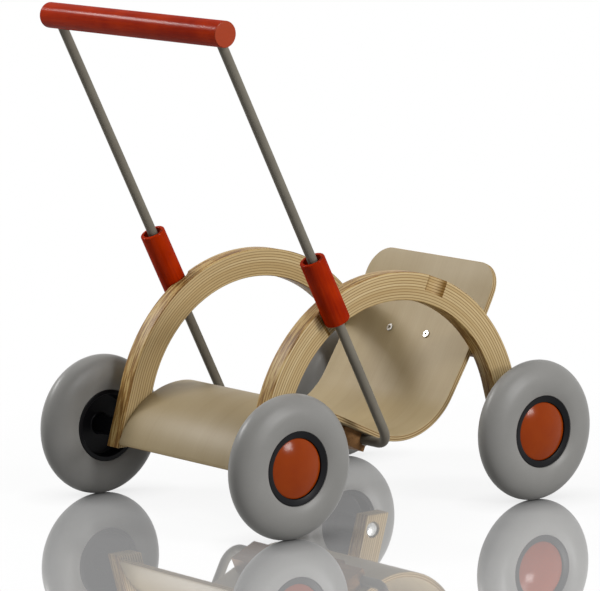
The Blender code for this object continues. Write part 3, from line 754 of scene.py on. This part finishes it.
def makeLaminate(name, notched):
    material, tree, shader = startMaterial(name, Roughness=0.42, Specular_IOR_Level=0.16)
    x, y, z = splitPoint(tree, objectPoint(tree))
    along, deep = alongBend(tree, x, z)

    # glue lines between the layers, each layer a little lighter or darker
    inward = calc(tree, "SUBTRACT", deep, arch["radius"] - arch["thick"])
    layer = calc(tree, "DIVIDE", inward, arch["thick"] / arch["layers"])
    wander = grained(tree, joinPoint(tree, along, deep, y), wood["wander"], detail=2.0)
    sway = calc(tree, "MULTIPLY", calc(tree, "SUBTRACT", wander, 0.5), wood["wanderShare"])
    layer = calc(tree, "ADD", layer, sway)
    number = calc(tree, "FLOOR", layer)
    within = calc(tree, "FRACT", layer)
    handed = calc(tree, "MULTIPLY_ADD", calc(tree, "SIGN", y), wood["sideShift"], number)
    chance = addNode(tree, "ShaderNodeTexWhiteNoise", {"noise_dimensions": "1D"}, {"W": handed})
    tint = chance.outputs["Value"]
    shifted = calc(tree, "MULTIPLY_ADD", handed, wood["layerShift"], deep)
    point = joinPoint(tree, along, shifted, y)
    streak = grained(tree, point, wood["streaks"], detail=5.0, rough=0.65)
    broad = grained(tree, point, wood["broad"])
    pores = grained(tree, point, wood["pores"], detail=2.0)
    soft = weighed(tree, streak, wood["streakShare"], broad, wood["broadShare"])
    body = calc(tree, "MULTIPLY_ADD", tint, wood["layerShare"], soft)
    colour = ramp(tree, body, (0.34, wood["brown"]), (0.5, wood["gold"]), (0.68, wood["pale"]))
    thin, wide = wood["glueWidth"] * 0.6, wood["glueWidth"] * 1.4
    glueLine = ramp(tree, within, (thin, 1.0), (wide, 0.0), (1 - wide, 0.0), (1 - thin, 1.0))
    strength = calc(tree, "MULTIPLY", glueLine, remap(tree, tint, 0.7, 1.0))
    colour = blendColour(tree, strength, colour, wood["glue"])

    # the veneer on the outside of the bend and the one inside it show their open grain
    flat = joinPoint(tree, along, 0.0, y)
    grain = grained(tree, flat, wood["skinGrain"], detail=6.0, rough=0.7)
    tones = ((0.42, wood["skinBrown"]), (0.49, wood["skinTan"]), (0.56, wood["skinPale"]))
    skinColour = ramp(tree, grain, *tones)
    depth = calc(tree, "MINIMUM", inward, calc(tree, "SUBTRACT", arch["radius"], deep))
    skin = remap(tree, depth, 1.0, 0.0, wood["skin"] * 0.8, wood["skin"])
    colour = blendColour(tree, skin, colour, skinColour)
    # inside a notch the colour turns warmer and darker from its floor up the steep sides to the
    # lip: end-grain tone and painted shade
    if notched:
        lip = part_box("left_arch")[1].y
        bottom = legY - arch["notchRadius"]
        steep = remap(tree, calc(tree, "ABSOLUTE", y), 0.0, 1.0, bottom, lip)
        endGrainAndShade = ramp(tree, steep, (0.1, wood["cutFloor"]), (0.7, wood["cutLip"]))
        colour = blendColour(tree, 1.0, colour, endGrainAndShade, "MULTIPLY")
    dots = ramp(tree, pores, (0.28, wood["poreShade"]), (0.42, 1.0))
    feed(tree, shader, Base_Color=blendColour(tree, 0.7, colour, dots, "MULTIPLY"))
    feed(tree, shader, Roughness=remap(tree, streak, *wood["rough"]))
    dent = calc(tree, "MULTIPLY", glueLine, wood["glueDent"])
    bumped(tree, shader, calc(tree, "SUBTRACT", streak, dent), *wood["bump"])
    return material


def cutWith(mesh, cutters):
    # cuts helper meshes out of a mesh and removes the helpers again
    body = bpy.data.objects.new("cutBody", mesh)
    scene.collection.objects.link(body)
    helpers = []
    for cutter in cutters:
        helper = bpy.data.objects.new("cutHelper", cutter)
        scene.collection.objects.link(helper)
        boolean = body.modifiers.new("cut", "BOOLEAN")
        boolean.operation = "DIFFERENCE"
        boolean.solver = "EXACT"
        boolean.object = helper
        helpers.append(helper)
    graph = bpy.context.evaluated_depsgraph_get()
    result = bpy.data.meshes.new_from_object(body.evaluated_get(graph))
    for item in helpers + [body]:
        bpy.data.objects.remove(item)
    return result


def plug(radius, low, high, place, steps=meshing["turnSteps"]):
    bm = turned([(0, high), (radius, high), (radius, low), (0, low)], steps)
    bmesh.ops.transform(bm, matrix=place, verts=bm.verts)
    return toMesh(bm, "plug")


def shoulderReach(lean):
    # how far up the leg from its pivot the shoulder of a notch lies
    start = pivot - archCentre
    angle = math.radians(lean)
    along = start.x * math.sin(angle) + start.z * math.cos(angle)
    reach = math.sqrt(along**2 - start.x**2 - start.z**2 + arch["radius"] ** 2) - along
    return reach - arch["notchDepth"]


def inNotch(spot, lean, side):
    # whether a point lies on the wall or the shoulder of a notch, and not on the arch's own faces
    away = spot - Vector((pivot.x, side * legY, pivot.z))
    up = heading(90 - lean)
    above = away.dot(up) - shoulderReach(lean)
    offAxis = (away - up * away.dot(up)).length
    slack = arch["wallSlack"]
    onWall = abs(offAxis - arch["notchRadius"]) < slack and above > -slack
    return onWall or (abs(above) < arch["shoulderSlack"] and offAxis < arch["notchRadius"])


def notchCutters(side):
    cutters = []
    for lean in notchLeans:
        low = shoulderReach(lean)
        turn = Matrix.Rotation(math.radians(lean), 4, "Y")
        place = Matrix.Translation((pivot.x, side * legY, pivot.z)) @ turn
        cutters.append(plug(arch["notchRadius"], low, low + arch["notchCut"], place))
    return cutters


def boltCutters(label, steps=48):
    cutters = []
    seat = bolt["inner"] + bolt["headHeight"] + bolt["gap"]
    under, end = seat - bolt["boreUnder"], bolt["boreEnd"]
    deep = bolt["inner"] - bolt["sinkLength"]
    for corner in corners:
        if corner.split("_")[1] == label:
            place = axlePlace(corner)
            cutters.append(plug(bolt["bore"], under, end, place, steps))
            cutters.append(plug(bolt["head"] + bolt["gap"], deep, seat, place, steps))
    return cutters


def buildArch(label, side):
    # a rectangle swung round the centre, with both ends pulled down the legs and cut level
    node = label + "_arch"
    splay = math.radians(arch["splay"])
    bm = bmesh.new()
    bmesh.ops.create_grid(bm, x_segments=1, y_segments=1, size=0.5)
    bmesh.ops.scale(bm, vec=(arch["thick"], arch["width"], 1), verts=bm.verts)
    tilt = Matrix.Rotation(-splay, 3, "Y")
    bmesh.ops.rotate(bm, cent=(0, 0, 0), matrix=tilt, verts=bm.verts)
    start = archCentre + heading(arch["splay"]) * (arch["radius"] - arch["thick"] / 2)
    bmesh.ops.translate(bm, verts=bm.verts, vec=(start.x, midBox(node).y, start.z))
    bmesh.ops.delete(bm, geom=bm.faces[:], context="FACES_ONLY")
    first = bm.edges[:]
    sweep = 2 * arch["splay"] - 180
    last = swingEdges(bm, first, archCentre, across, sweep, arch["bendSteps"])
    drop = arch["legDrop"]
    pullEdges(bm, first, (drop * math.sin(splay), 0, -drop * math.cos(splay)))
    pullEdges(bm, last, (-drop * math.sin(splay), 0, -drop * math.cos(splay)))
    geom = bm.verts[:] + bm.edges[:] + bm.faces[:]
    level = {"plane_co": (0, 0, archLow.z), "plane_no": (0, 0, -1), "dist": 1e-7}
    bmesh.ops.bisect_plane(bm, geom=geom, clear_outer=True, **level)
    closeHoles(bm)
    bmesh.ops.recalc_face_normals(bm, faces=bm.faces)
    bevelEdges(bm, foldedEdges(bm, arch["edgeFold"]), arch["edge"])
    mesh = cutWith(toMesh(bm, node + "_bent"), notchCutters(side) + boltCutters(label))
    mesh.name = node + "_bent"
    smoothMesh(mesh, meshing["crease"])
    mesh.materials.clear()
    addPiece(mesh, "frame", [laminate, cutLaminate], node)
    for face in mesh.polygons:
        face.material_index = int(any(inNotch(face.center, lean, side) for lean in notchLeans))


laminate = makeLaminate("laminated_wood", False)
cutLaminate = makeLaminate("laminated_wood_cut", True)
for label, side in sides.items():
    buildArch(label, side)
print("arches bent and notched")


# seat shell, one moulded sheet: leg panel, knee, slope, seat and back

shell = {
    "width": 0.2062,
    "thick": 0.0060,
    "edge": 0.0008,
    "edgeFold": 50,
    "crease": 35,
    "kneeInset": 0.0721,
    "kneeRise": 0.0434,
    "kneeRear": 0.0910,
    "rearSweep": 70.0,
    "rearSteps": 40,
    "kneeFront": 0.0600,
    "frontSteps": 12,
    "slope": 24.55,
    "slopeLength": 0.0818,
    "slopeSteps": 4,
    "seat": 0.0771,
    "seatSteps": 48,
    "backLean": 32.84,  # at the foot of the back
    "back": 1.0000,
    "backLength": 0.1518,
    "backSteps": 4,
    "backCorner": 0.0305,
    "backCornerSteps": 14,
    "panelCorner": 0.0040,
    "panelCornerSteps": 5,
    "plies": 5,
}
crest = archCentre + Vector((shell["kneeInset"] - arch["radius"], 0, shell["kneeRise"]))
rearCentre = crest - upward * shell["kneeRear"]
frontCentre = crest - upward * shell["kneeFront"]
downhill = heading(-shell["slope"])
slopeUp = heading(90 - shell["slope"])
slopeEnd = downhill * shell["slopeLength"]
seatCentre = frontCentre + slopeUp * (shell["kneeFront"] + shell["seat"]) + slopeEnd
backCentre = seatCentre + heading(-shell["backLean"]) * (shell["seat"] - shell["back"])
seatSweep = 90 + shell["slope"] - shell["backLean"]
backSweep = math.degrees(shell["backLength"] / shell["back"])
veneer = {
    "pale": srgb(161, 144, 112),
    "tan": srgb(156, 139, 106),
    "shade": srgb(150, 132, 98),
    # painted light and shade along the run, from the leg panel's end to the top of the back: darker
    # on the leg panel, paler in the seat and at the foot of the back
    "paintedShading": ((0.0, 0.88), (0.31, 0.88), (0.47, 1.0), (0.58, 1.12), (0.75, 1.1), (1.0, 0.98)),
    "runLength": 0.48,
    # waves per metre along the run and across the sheet
    "flames": (3.0, 40.0, 1.0),
    "streaks": (16.0, 700.0, 1.0),
    "pores": (140.0, 3600.0, 1.0),
    "flameShare": 0.6,
    "streakShare": 0.4,
    "poreShade": 0.9,
    "rough": (0.38, 0.5),
    "bump": (0.06, 0.0003),
}
plyEdge = {
    "light": srgb(186, 164, 124),
    "dark": srgb(120, 92, 56),
    "wander": (60.0, 6.0, 1.0),
    "wanderShare": 0.03,
    "streaks": (220.0, 26.0, 1.0),
    "plyShare": 0.75,
    "streakShare": 0.25,
    "bump": (0.12, 0.0003),
}


def makeVeneer():
    # pale veneer with the grain along the sheet's run; "run" and "ply" are stored on the mesh
    material, tree, shader = startMaterial("shell_veneer", Roughness=0.45, Specular_IOR_Level=0.16)
    run = stored(tree, "run")
    point = joinPoint(tree, run, splitPoint(tree, objectPoint(tree))[1], 0.0)
    flame = grained(tree, point, veneer["flames"], distort=0.6)
    streak = grained(tree, point, veneer["streaks"], detail=4.0, rough=0.6)
    pores = grained(tree, point, veneer["pores"], detail=2.0)
    body = weighed(tree, flame, veneer["flameShare"], streak, veneer["streakShare"])
    tones = ((0.3, veneer["shade"]), (0.5, veneer["tan"]), (0.72, veneer["pale"]))
    dots = ramp(tree, pores, (0.3, veneer["poreShade"]), (0.45, 1.0))
    colour = blendColour(tree, 0.6, ramp(tree, body, *tones), dots, "MULTIPLY")
    # painted light and shade: the leg panel darkened, the seat's hollow lightened as if by fill
    # light
    paintedShading = ramp(tree, calc(tree, "DIVIDE", run, veneer["runLength"]), *veneer["paintedShading"])
    feed(tree, shader, Base_Color=blendColour(tree, 1.0, colour, paintedShading, "MULTIPLY"))
    feed(tree, shader, Roughness=remap(tree, streak, *veneer["rough"]))
    bumped(tree, shader, streak, *veneer["bump"])
    return material


def makePlyEdge():
    # the cut edge of the sheet: light and dark plies in turn
    material, tree, shader = startMaterial("shell_edge", Roughness=0.6, Specular_IOR_Level=0.08)
    ply = stored(tree, "ply")
    around = calc(tree, "ADD", stored(tree, "run"), splitPoint(tree, objectPoint(tree))[1])
    point = joinPoint(tree, around, ply, 0.0)
    wander = grained(tree, point, plyEdge["wander"], detail=2.0)
    swayed = calc(tree, "ADD", ply, calc(tree, "MULTIPLY", wander, plyEdge["wanderShare"]))
    odd = calc(tree, "PINGPONG", calc(tree, "MULTIPLY", swayed, float(shell["plies"])), 1.0)
    streak = grained(tree, point, plyEdge["streaks"])
    mixed = weighed(tree, odd, plyEdge["plyShare"], streak, plyEdge["streakShare"])
    colour = ramp(tree, mixed, (0.3, plyEdge["light"]), (0.75, plyEdge["dark"]))
    feed(tree, shader, Base_Color=colour)
    bumped(tree, shader, streak, *plyEdge["bump"])
    return material


def buildShell():
    # a line across the sheet, carried along its run, then given its thickness
    bm = bmesh.new()
    half = shell["width"] / 2
    start = rearCentre + heading(90 + shell["rearSweep"]) * shell["kneeRear"]
    edges = [bm.edges.new([bm.verts.new((start.x, y, start.z)) for y in (half, -half)])]
    edges = swingEdges(bm, edges, rearCentre, across, shell["rearSweep"], shell["rearSteps"])
    edges = swingEdges(bm, edges, frontCentre, across, shell["slope"], shell["frontSteps"])
    for step in range(shell["slopeSteps"]):
        edges = pullEdges(bm, edges, slopeEnd / shell["slopeSteps"])
    edges = swingEdges(bm, edges, seatCentre, across, -seatSweep, shell["seatSteps"])
    swingEdges(bm, edges, backCentre, across, -backSweep, shell["backSteps"])
    mergeDoubles(bm)
    bm.verts.ensure_lookup_table()
    backEnds = sorted(bm.verts, key=lambda v: -v.co.z)[:2]
    panelEnds = sorted(bm.verts, key=lambda v: v.co.x)[:2]
    roundCorners(bm, backEnds, shell["backCorner"], shell["backCornerSteps"])
    roundCorners(bm, panelEnds, shell["panelCorner"], shell["panelCornerSteps"])
    bmesh.ops.recalc_face_normals(bm, faces=bm.faces)
    if sum(face.normal.z * face.calc_area() for face in bm.faces) < 0:
        bmesh.ops.reverse_faces(bm, faces=bm.faces)
    top = set(bm.verts)
    bmesh.ops.solidify(bm, geom=bm.faces[:], thickness=shell["thick"])
    for face in bm.faces:
        face.material_index = int(0 < sum(v in top for v in face.verts) < len(face.verts))
    bmesh.ops.recalc_face_normals(bm, faces=bm.faces)
    folded = foldedEdges(bm, shell["edgeFold"])
    rims = [edge for edge in folded if len({f.material_index for f in edge.link_faces}) > 1]
    bevelEdges(bm, rims, shell["edge"])
    mesh = toMesh(bm, "seat_shell_sheet", shell["crease"])
    storeRun(mesh)
    return mesh


def arcLine(centre, radius, start, sweep, steps):
    return [centre + heading(start + sweep * i / steps) * radius for i in range(steps + 1)]


def storeRun(mesh):
    # for each vertex, how far along the sheet it lies and how deep under its upper face
    slope, rearSweep = shell["slope"], shell["rearSweep"]
    line = arcLine(rearCentre, shell["kneeRear"], 90 + rearSweep, -rearSweep, 60)[:-1]
    line += arcLine(frontCentre, shell["kneeFront"], 90, -slope, 20)
    line += arcLine(seatCentre, shell["seat"], -90 - slope, seatSweep, 60)
    line += arcLine(backCentre, shell["back"], -shell["backLean"], backSweep, 20)[1:]
    runs = [0.0]
    for a, b in zip(line, line[1:]):
        runs.append(runs[-1] + (b - a).length)
    runData = mesh.attributes.new("run", "FLOAT", "POINT").data
    plyData = mesh.attributes.new("ply", "FLOAT", "POINT").data
    for vertex in mesh.vertices:
        spot = Vector((vertex.co.x, 0, vertex.co.z))
        best = None
        for i, (a, b) in enumerate(zip(line, line[1:])):
            step = b - a
            t = min(max((spot - a).dot(step) / step.length_squared, 0.0), 1.0)
            gap = (spot - a - step * t).length
            if best is None or gap < best[0]:
                best = (gap, runs[i] + t * step.length)
        plyData[vertex.index].value = best[0] / shell["thick"]
        runData[vertex.index].value = best[1]


addPiece(buildShell(), "frame", [makeVeneer(), makePlyEdge()], "seat_shell")
print("shell moulded")


# screws through the shell, with hexagon sockets

screw = {
    "face": 0.0037,
    "faceSteps": 48,
    "socket": 0.0019,
    "socketCuts": 7,
    "depth": 0.0014,
    # radius and height of each ring below the face: rim, neck, shank and point
    "rings": ((0.0040, -0.0002), (0.0020, -0.0022), (0.0020, -0.0125), (0.0002, -0.0147)),
    "rise": 0.0074,  # from the screw's middle to its face
}


def buildScrew(node, lean):
    bm = bmesh.new()
    socket = {"radius": screw["socket"], "segments": 6}
    hexagon = bmesh.ops.create_circle(bm, cap_ends=False, **socket)["verts"]
    bmesh.ops.subdivide_edges(bm, edges=edgesOf(hexagon), cuts=screw["socketCuts"])
    inner = bm.edges[:]
    face = {"radius": screw["face"], "segments": screw["faceSteps"]}
    outer = edgesOf(bmesh.ops.create_circle(bm, cap_ends=False, **face)["verts"])
    bmesh.ops.bridge_loops(bm, edges=inner + outer)
    floor = pullEdges(bm, inner, (0, 0, -screw["depth"]))
    bmesh.ops.holes_fill(bm, edges=floor)
    edges = outer
    for radius, height in screw["rings"]:
        last = edges[0].verts[0].co
        grow = radius / last.xy.length
        edges = pullEdges(bm, edges, (0, 0, height - last.z))
        bmesh.ops.scale(bm, vec=(grow, grow, 1), verts=vertsOf(edges))
    bmesh.ops.holes_fill(bm, edges=edges)
    turn = Matrix.Rotation(math.radians(lean), 4, "Y")
    head = midBox(node) + turn.to_3x3() @ upward * screw["rise"]
    bmesh.ops.transform(bm, matrix=Matrix.Translation(head) @ turn, verts=bm.verts)
    return toMesh(bm, node + "_socket")


for name in ("back", "block"):
    for label in sides:
        node = f"{name}_screw_{label}"
        away = midBox(node) - backCentre
        backTurn = math.degrees(math.atan2(-away.z, away.x)) - 90
        lean = backTurn if name == "back" else shell["slope"]
        addPiece(buildScrew(node, lean), "frame", [zincSteel], node)
for name in nodes:
    if "rail" in name or name == "pivot_block":
        nodes[name].data.materials[0] = beech
print("screws and rails finished")


# handle: bent rod, grip and sleeves

def buildRod():
    bm = bmesh.new()
    reach = (gripCentre - pivot).length + handle["past"]
    straight = reach - handle["bend"]
    bar = legY - handle["bend"]
    section = {"radius": handle["rod"], "segments": handle["roundSteps"]}
    bmesh.ops.create_circle(bm, cap_ends=False, **section)
    top = pivot + across * legY + legUp * reach
    bmesh.ops.transform(bm, matrix=Matrix.Translation(top) @ legTurn, verts=bm.verts)
    edges = pullEdges(bm, bm.edges[:], -legUp * straight)
    axis = across.cross(legUp)
    for side in (1, -1):
        centre = pivot + across * side * bar + legUp * handle["bend"]
        edges = swingEdges(bm, edges, centre, axis, -90, handle["bendSteps"])
        if side == 1:
            edges = pullEdges(bm, edges, -across * 2 * bar)
    pullEdges(bm, edges, legUp * straight)
    closeHoles(bm)
    return toMesh(bm, "handle_rod_bent")


addPiece(buildRod(), "handle", [powderCoat], "handle_rod")

grip = {"radius": 0.01348, "edge": 0.0012}


def buildGrip():
    half, r, edge = gripHalf, grip["radius"], grip["edge"]
    bm = turned(softened([(0, half, 0), (r, half, edge), (r, -half, edge), (0, -half, 0)]))
    place = Matrix.Translation(gripCentre) @ Matrix.Rotation(-math.pi / 2, 4, "X")
    bmesh.ops.transform(bm, matrix=place, verts=bm.verts)
    return toMesh(bm, "handle_grip_turned")


addPiece(buildGrip(), "handle", [gripLacquer], "handle_grip")

sleeve = {
    "radius": 0.0135,
    "length": 0.0750,
    "edge": 0.0016,
    "cup": 0.0095,
    "cupDepth": 0.0080,
    "cupFillet": 0.0015,
    "cupEdge": 0.0009,
    "bore": 0.0057,
    "boreTop": 0.0003,
    "boreFoot": 0.0004,
}


def buildSleeve(node):
    r, length, cup, bore = sleeve["radius"], sleeve["length"], sleeve["cup"], sleeve["bore"]
    floor = length - sleeve["cupDepth"]
    start = (bore, length / 2, 0)
    points = [
        (bore, floor, sleeve["boreTop"]), (cup, floor, sleeve["cupFillet"]),
        (cup, length, sleeve["cupEdge"]), (r, length, sleeve["edge"]),
        (r, 0, sleeve["edge"]), (bore, 0, sleeve["boreFoot"]),
    ]
    bm = turned(softened([start, *points, start]))
    base = midBox(node) - legUp * length / 2
    bmesh.ops.transform(bm, matrix=Matrix.Translation(base) @ legTurn, verts=bm.verts)
    return toMesh(bm, node + "_turned")


for label in sides:
    node = label + "_sleeve"
    addPiece(buildSleeve(node), node, [sleeveLacquer], node)
print("handle built")


# studio: camera, pale floor, soft lamps

shot = {
    "azimuth": -39.145,
    "elevation": 8.507,
    "distance": 4.600,
    "target": (-0.01775, 0.0, 0.21805),
    "lens": 261.52,
    "sensor": 36.0,
    "farthest": 60.0,
}


def addCamera():
    az, el = math.radians(shot["azimuth"]), math.radians(shot["elevation"])
    back = Vector((math.sin(az) * math.cos(el), -math.cos(az) * math.cos(el), math.sin(el)))
    data = bpy.data.cameras.new("camera")
    data.lens = shot["lens"]
    data.sensor_width = shot["sensor"]
    data.clip_end = shot["farthest"]
    camera = bpy.data.objects.new("camera", data)
    camera.location = Vector(shot["target"]) + back * shot["distance"]
    camera.rotation_euler = back.to_track_quat("Z", "Y").to_euler()
    scene.collection.objects.link(camera)
    scene.camera = camera


lampAim = Vector((0, 0, 0.2))
lamps = (
    # name, heading from the aim, distance, watts, width, height
    ("key", (0.330, -0.908, 0.259), 3.3, 36.0, 0.6, 0.5),
    ("high", (0.118, -0.840, 0.530), 3.0, 44.0, 1.2, 1.1),
    ("rear", (-0.607, 0.519, 0.602), 2.8, 22.0, 1.0, 1.0),
    ("back", (-0.413, 0.713, 0.566), 2.66, 34.0, 0.7, 0.4),
    ("top", (0.0, 0.0, 1.0), 2.4, 12.0, 1.6, 1.6),
)


def addLamps():
    for name, towards, distance, watts, width, height in lamps:
        data = bpy.data.lights.new(name, "AREA")
        data.shape = "RECTANGLE"
        data.energy = watts
        data.size = width
        data.size_y = height
        lamp = bpy.data.objects.new(name, data)
        lamp.location = lampAim + Vector(towards).normalized() * distance
        lamp.rotation_euler = Vector(towards).to_track_quat("Z", "Y").to_euler()
        scene.collection.objects.link(lamp)


white = (1, 1, 1, 1)
ambient = 0.16


def showsBackground(tree):
    # 1 for rays that come straight to the camera, off a mirror or through glass, and 0 for light
    ray = addNode(tree, "ShaderNodeLightPath", {}, {}).outputs
    direct = calc(tree, "MAXIMUM", ray["Is Camera Ray"], ray["Is Transmission Ray"])
    return calc(tree, "MAXIMUM", direct, ray["Is Glossy Ray"]), ray["Is Camera Ray"]


def addWorld():
    world = bpy.data.worlds.new("studio")
    scene.world = world
    world.use_nodes = True
    tree = world.node_tree
    shade = tree.nodes["Background"]
    shade.inputs["Color"].default_value = white
    feed(tree, shade, Strength=remap(tree, showsBackground(tree)[0], ambient, 1.0))


floorLook = {
    "size": 12.0,
    "colour": (0.85, 0.85, 0.85, 1),
    "bounce": (0.4, 0.4, 0.4, 1),  # its colour in the light it throws back on the pram
    "gloss": 0.02,
    "mirror": 0.74,
    "lift": 0.65,  # share of plain white under the pram
    # reach of the painted contact shadow round the pram
    "contact": 0.05,
    "contactSamples": 8,
    "fadeFrom": 0.3,
    "fadeTo": 0.8,
}


def addFloor():
    # a polished white floor: a mirror over matte white, plain white away from the pram
    bm = bmesh.new()
    bmesh.ops.create_grid(bm, x_segments=4, y_segments=4, size=floorLook["size"])
    floor = bpy.data.objects.new("floor", toMesh(bm, "floor"))
    scene.collection.objects.link(floor)
    material, tree, shader = startMaterial("pale_floor", Roughness=0.6, Specular_IOR_Level=0.0)
    x, y = splitPoint(tree, objectPoint(tree))[:2]
    square = calc(tree, "MULTIPLY_ADD", x, x, calc(tree, "MULTIPLY", y, y))
    feeds = {"Value": calc(tree, "SQRT", square), "To Min": floorLook["lift"], "To Max": 1.0}
    feeds.update({"From Min": floorLook["fadeFrom"], "From Max": floorLook["fadeTo"]})
    smooth = {"interpolation_type": "SMOOTHSTEP"}
    fade = addNode(tree, "ShaderNodeMapRange", smooth, feeds).outputs[0]
    seen, toCamera = showsBackground(tree)
    samples, reach = {"samples": floorLook["contactSamples"]}, {"Distance": floorLook["contact"]}
    # the plain white glow dims near the pram by ambient occlusion: a painted contact shadow
    near = addNode(tree, "ShaderNodeAmbientOcclusion", samples, reach).outputs["AO"]
    plain = addNode(tree, "ShaderNodeEmission", {}, {"Color": white, "Strength": near}).outputs[0]
    gloss = {"Color": white, "Roughness": floorLook["gloss"]}
    shine = addNode(tree, "ShaderNodeBsdfGlossy", {}, gloss).outputs[0]
    colour = blendColour(tree, seen, floorLook["bounce"], floorLook["colour"])
    feed(tree, shader, Base_Color=colour)
    layers = {0: calc(tree, "MULTIPLY", fade, seen), 1: shader.outputs[0], 2: plain}
    matte = addNode(tree, "ShaderNodeMixShader", {}, layers).outputs[0]
    layers = {0: calc(tree, "MULTIPLY", toCamera, floorLook["mirror"]), 1: matte, 2: shine}
    surface = addNode(tree, "ShaderNodeMixShader", {}, layers).outputs[0]
    feed(tree, tree.nodes["Material Output"], Surface=surface)
    floor.data.materials.append(material)


addCamera()
addLamps()
addWorld()
addFloor()
print("studio set")
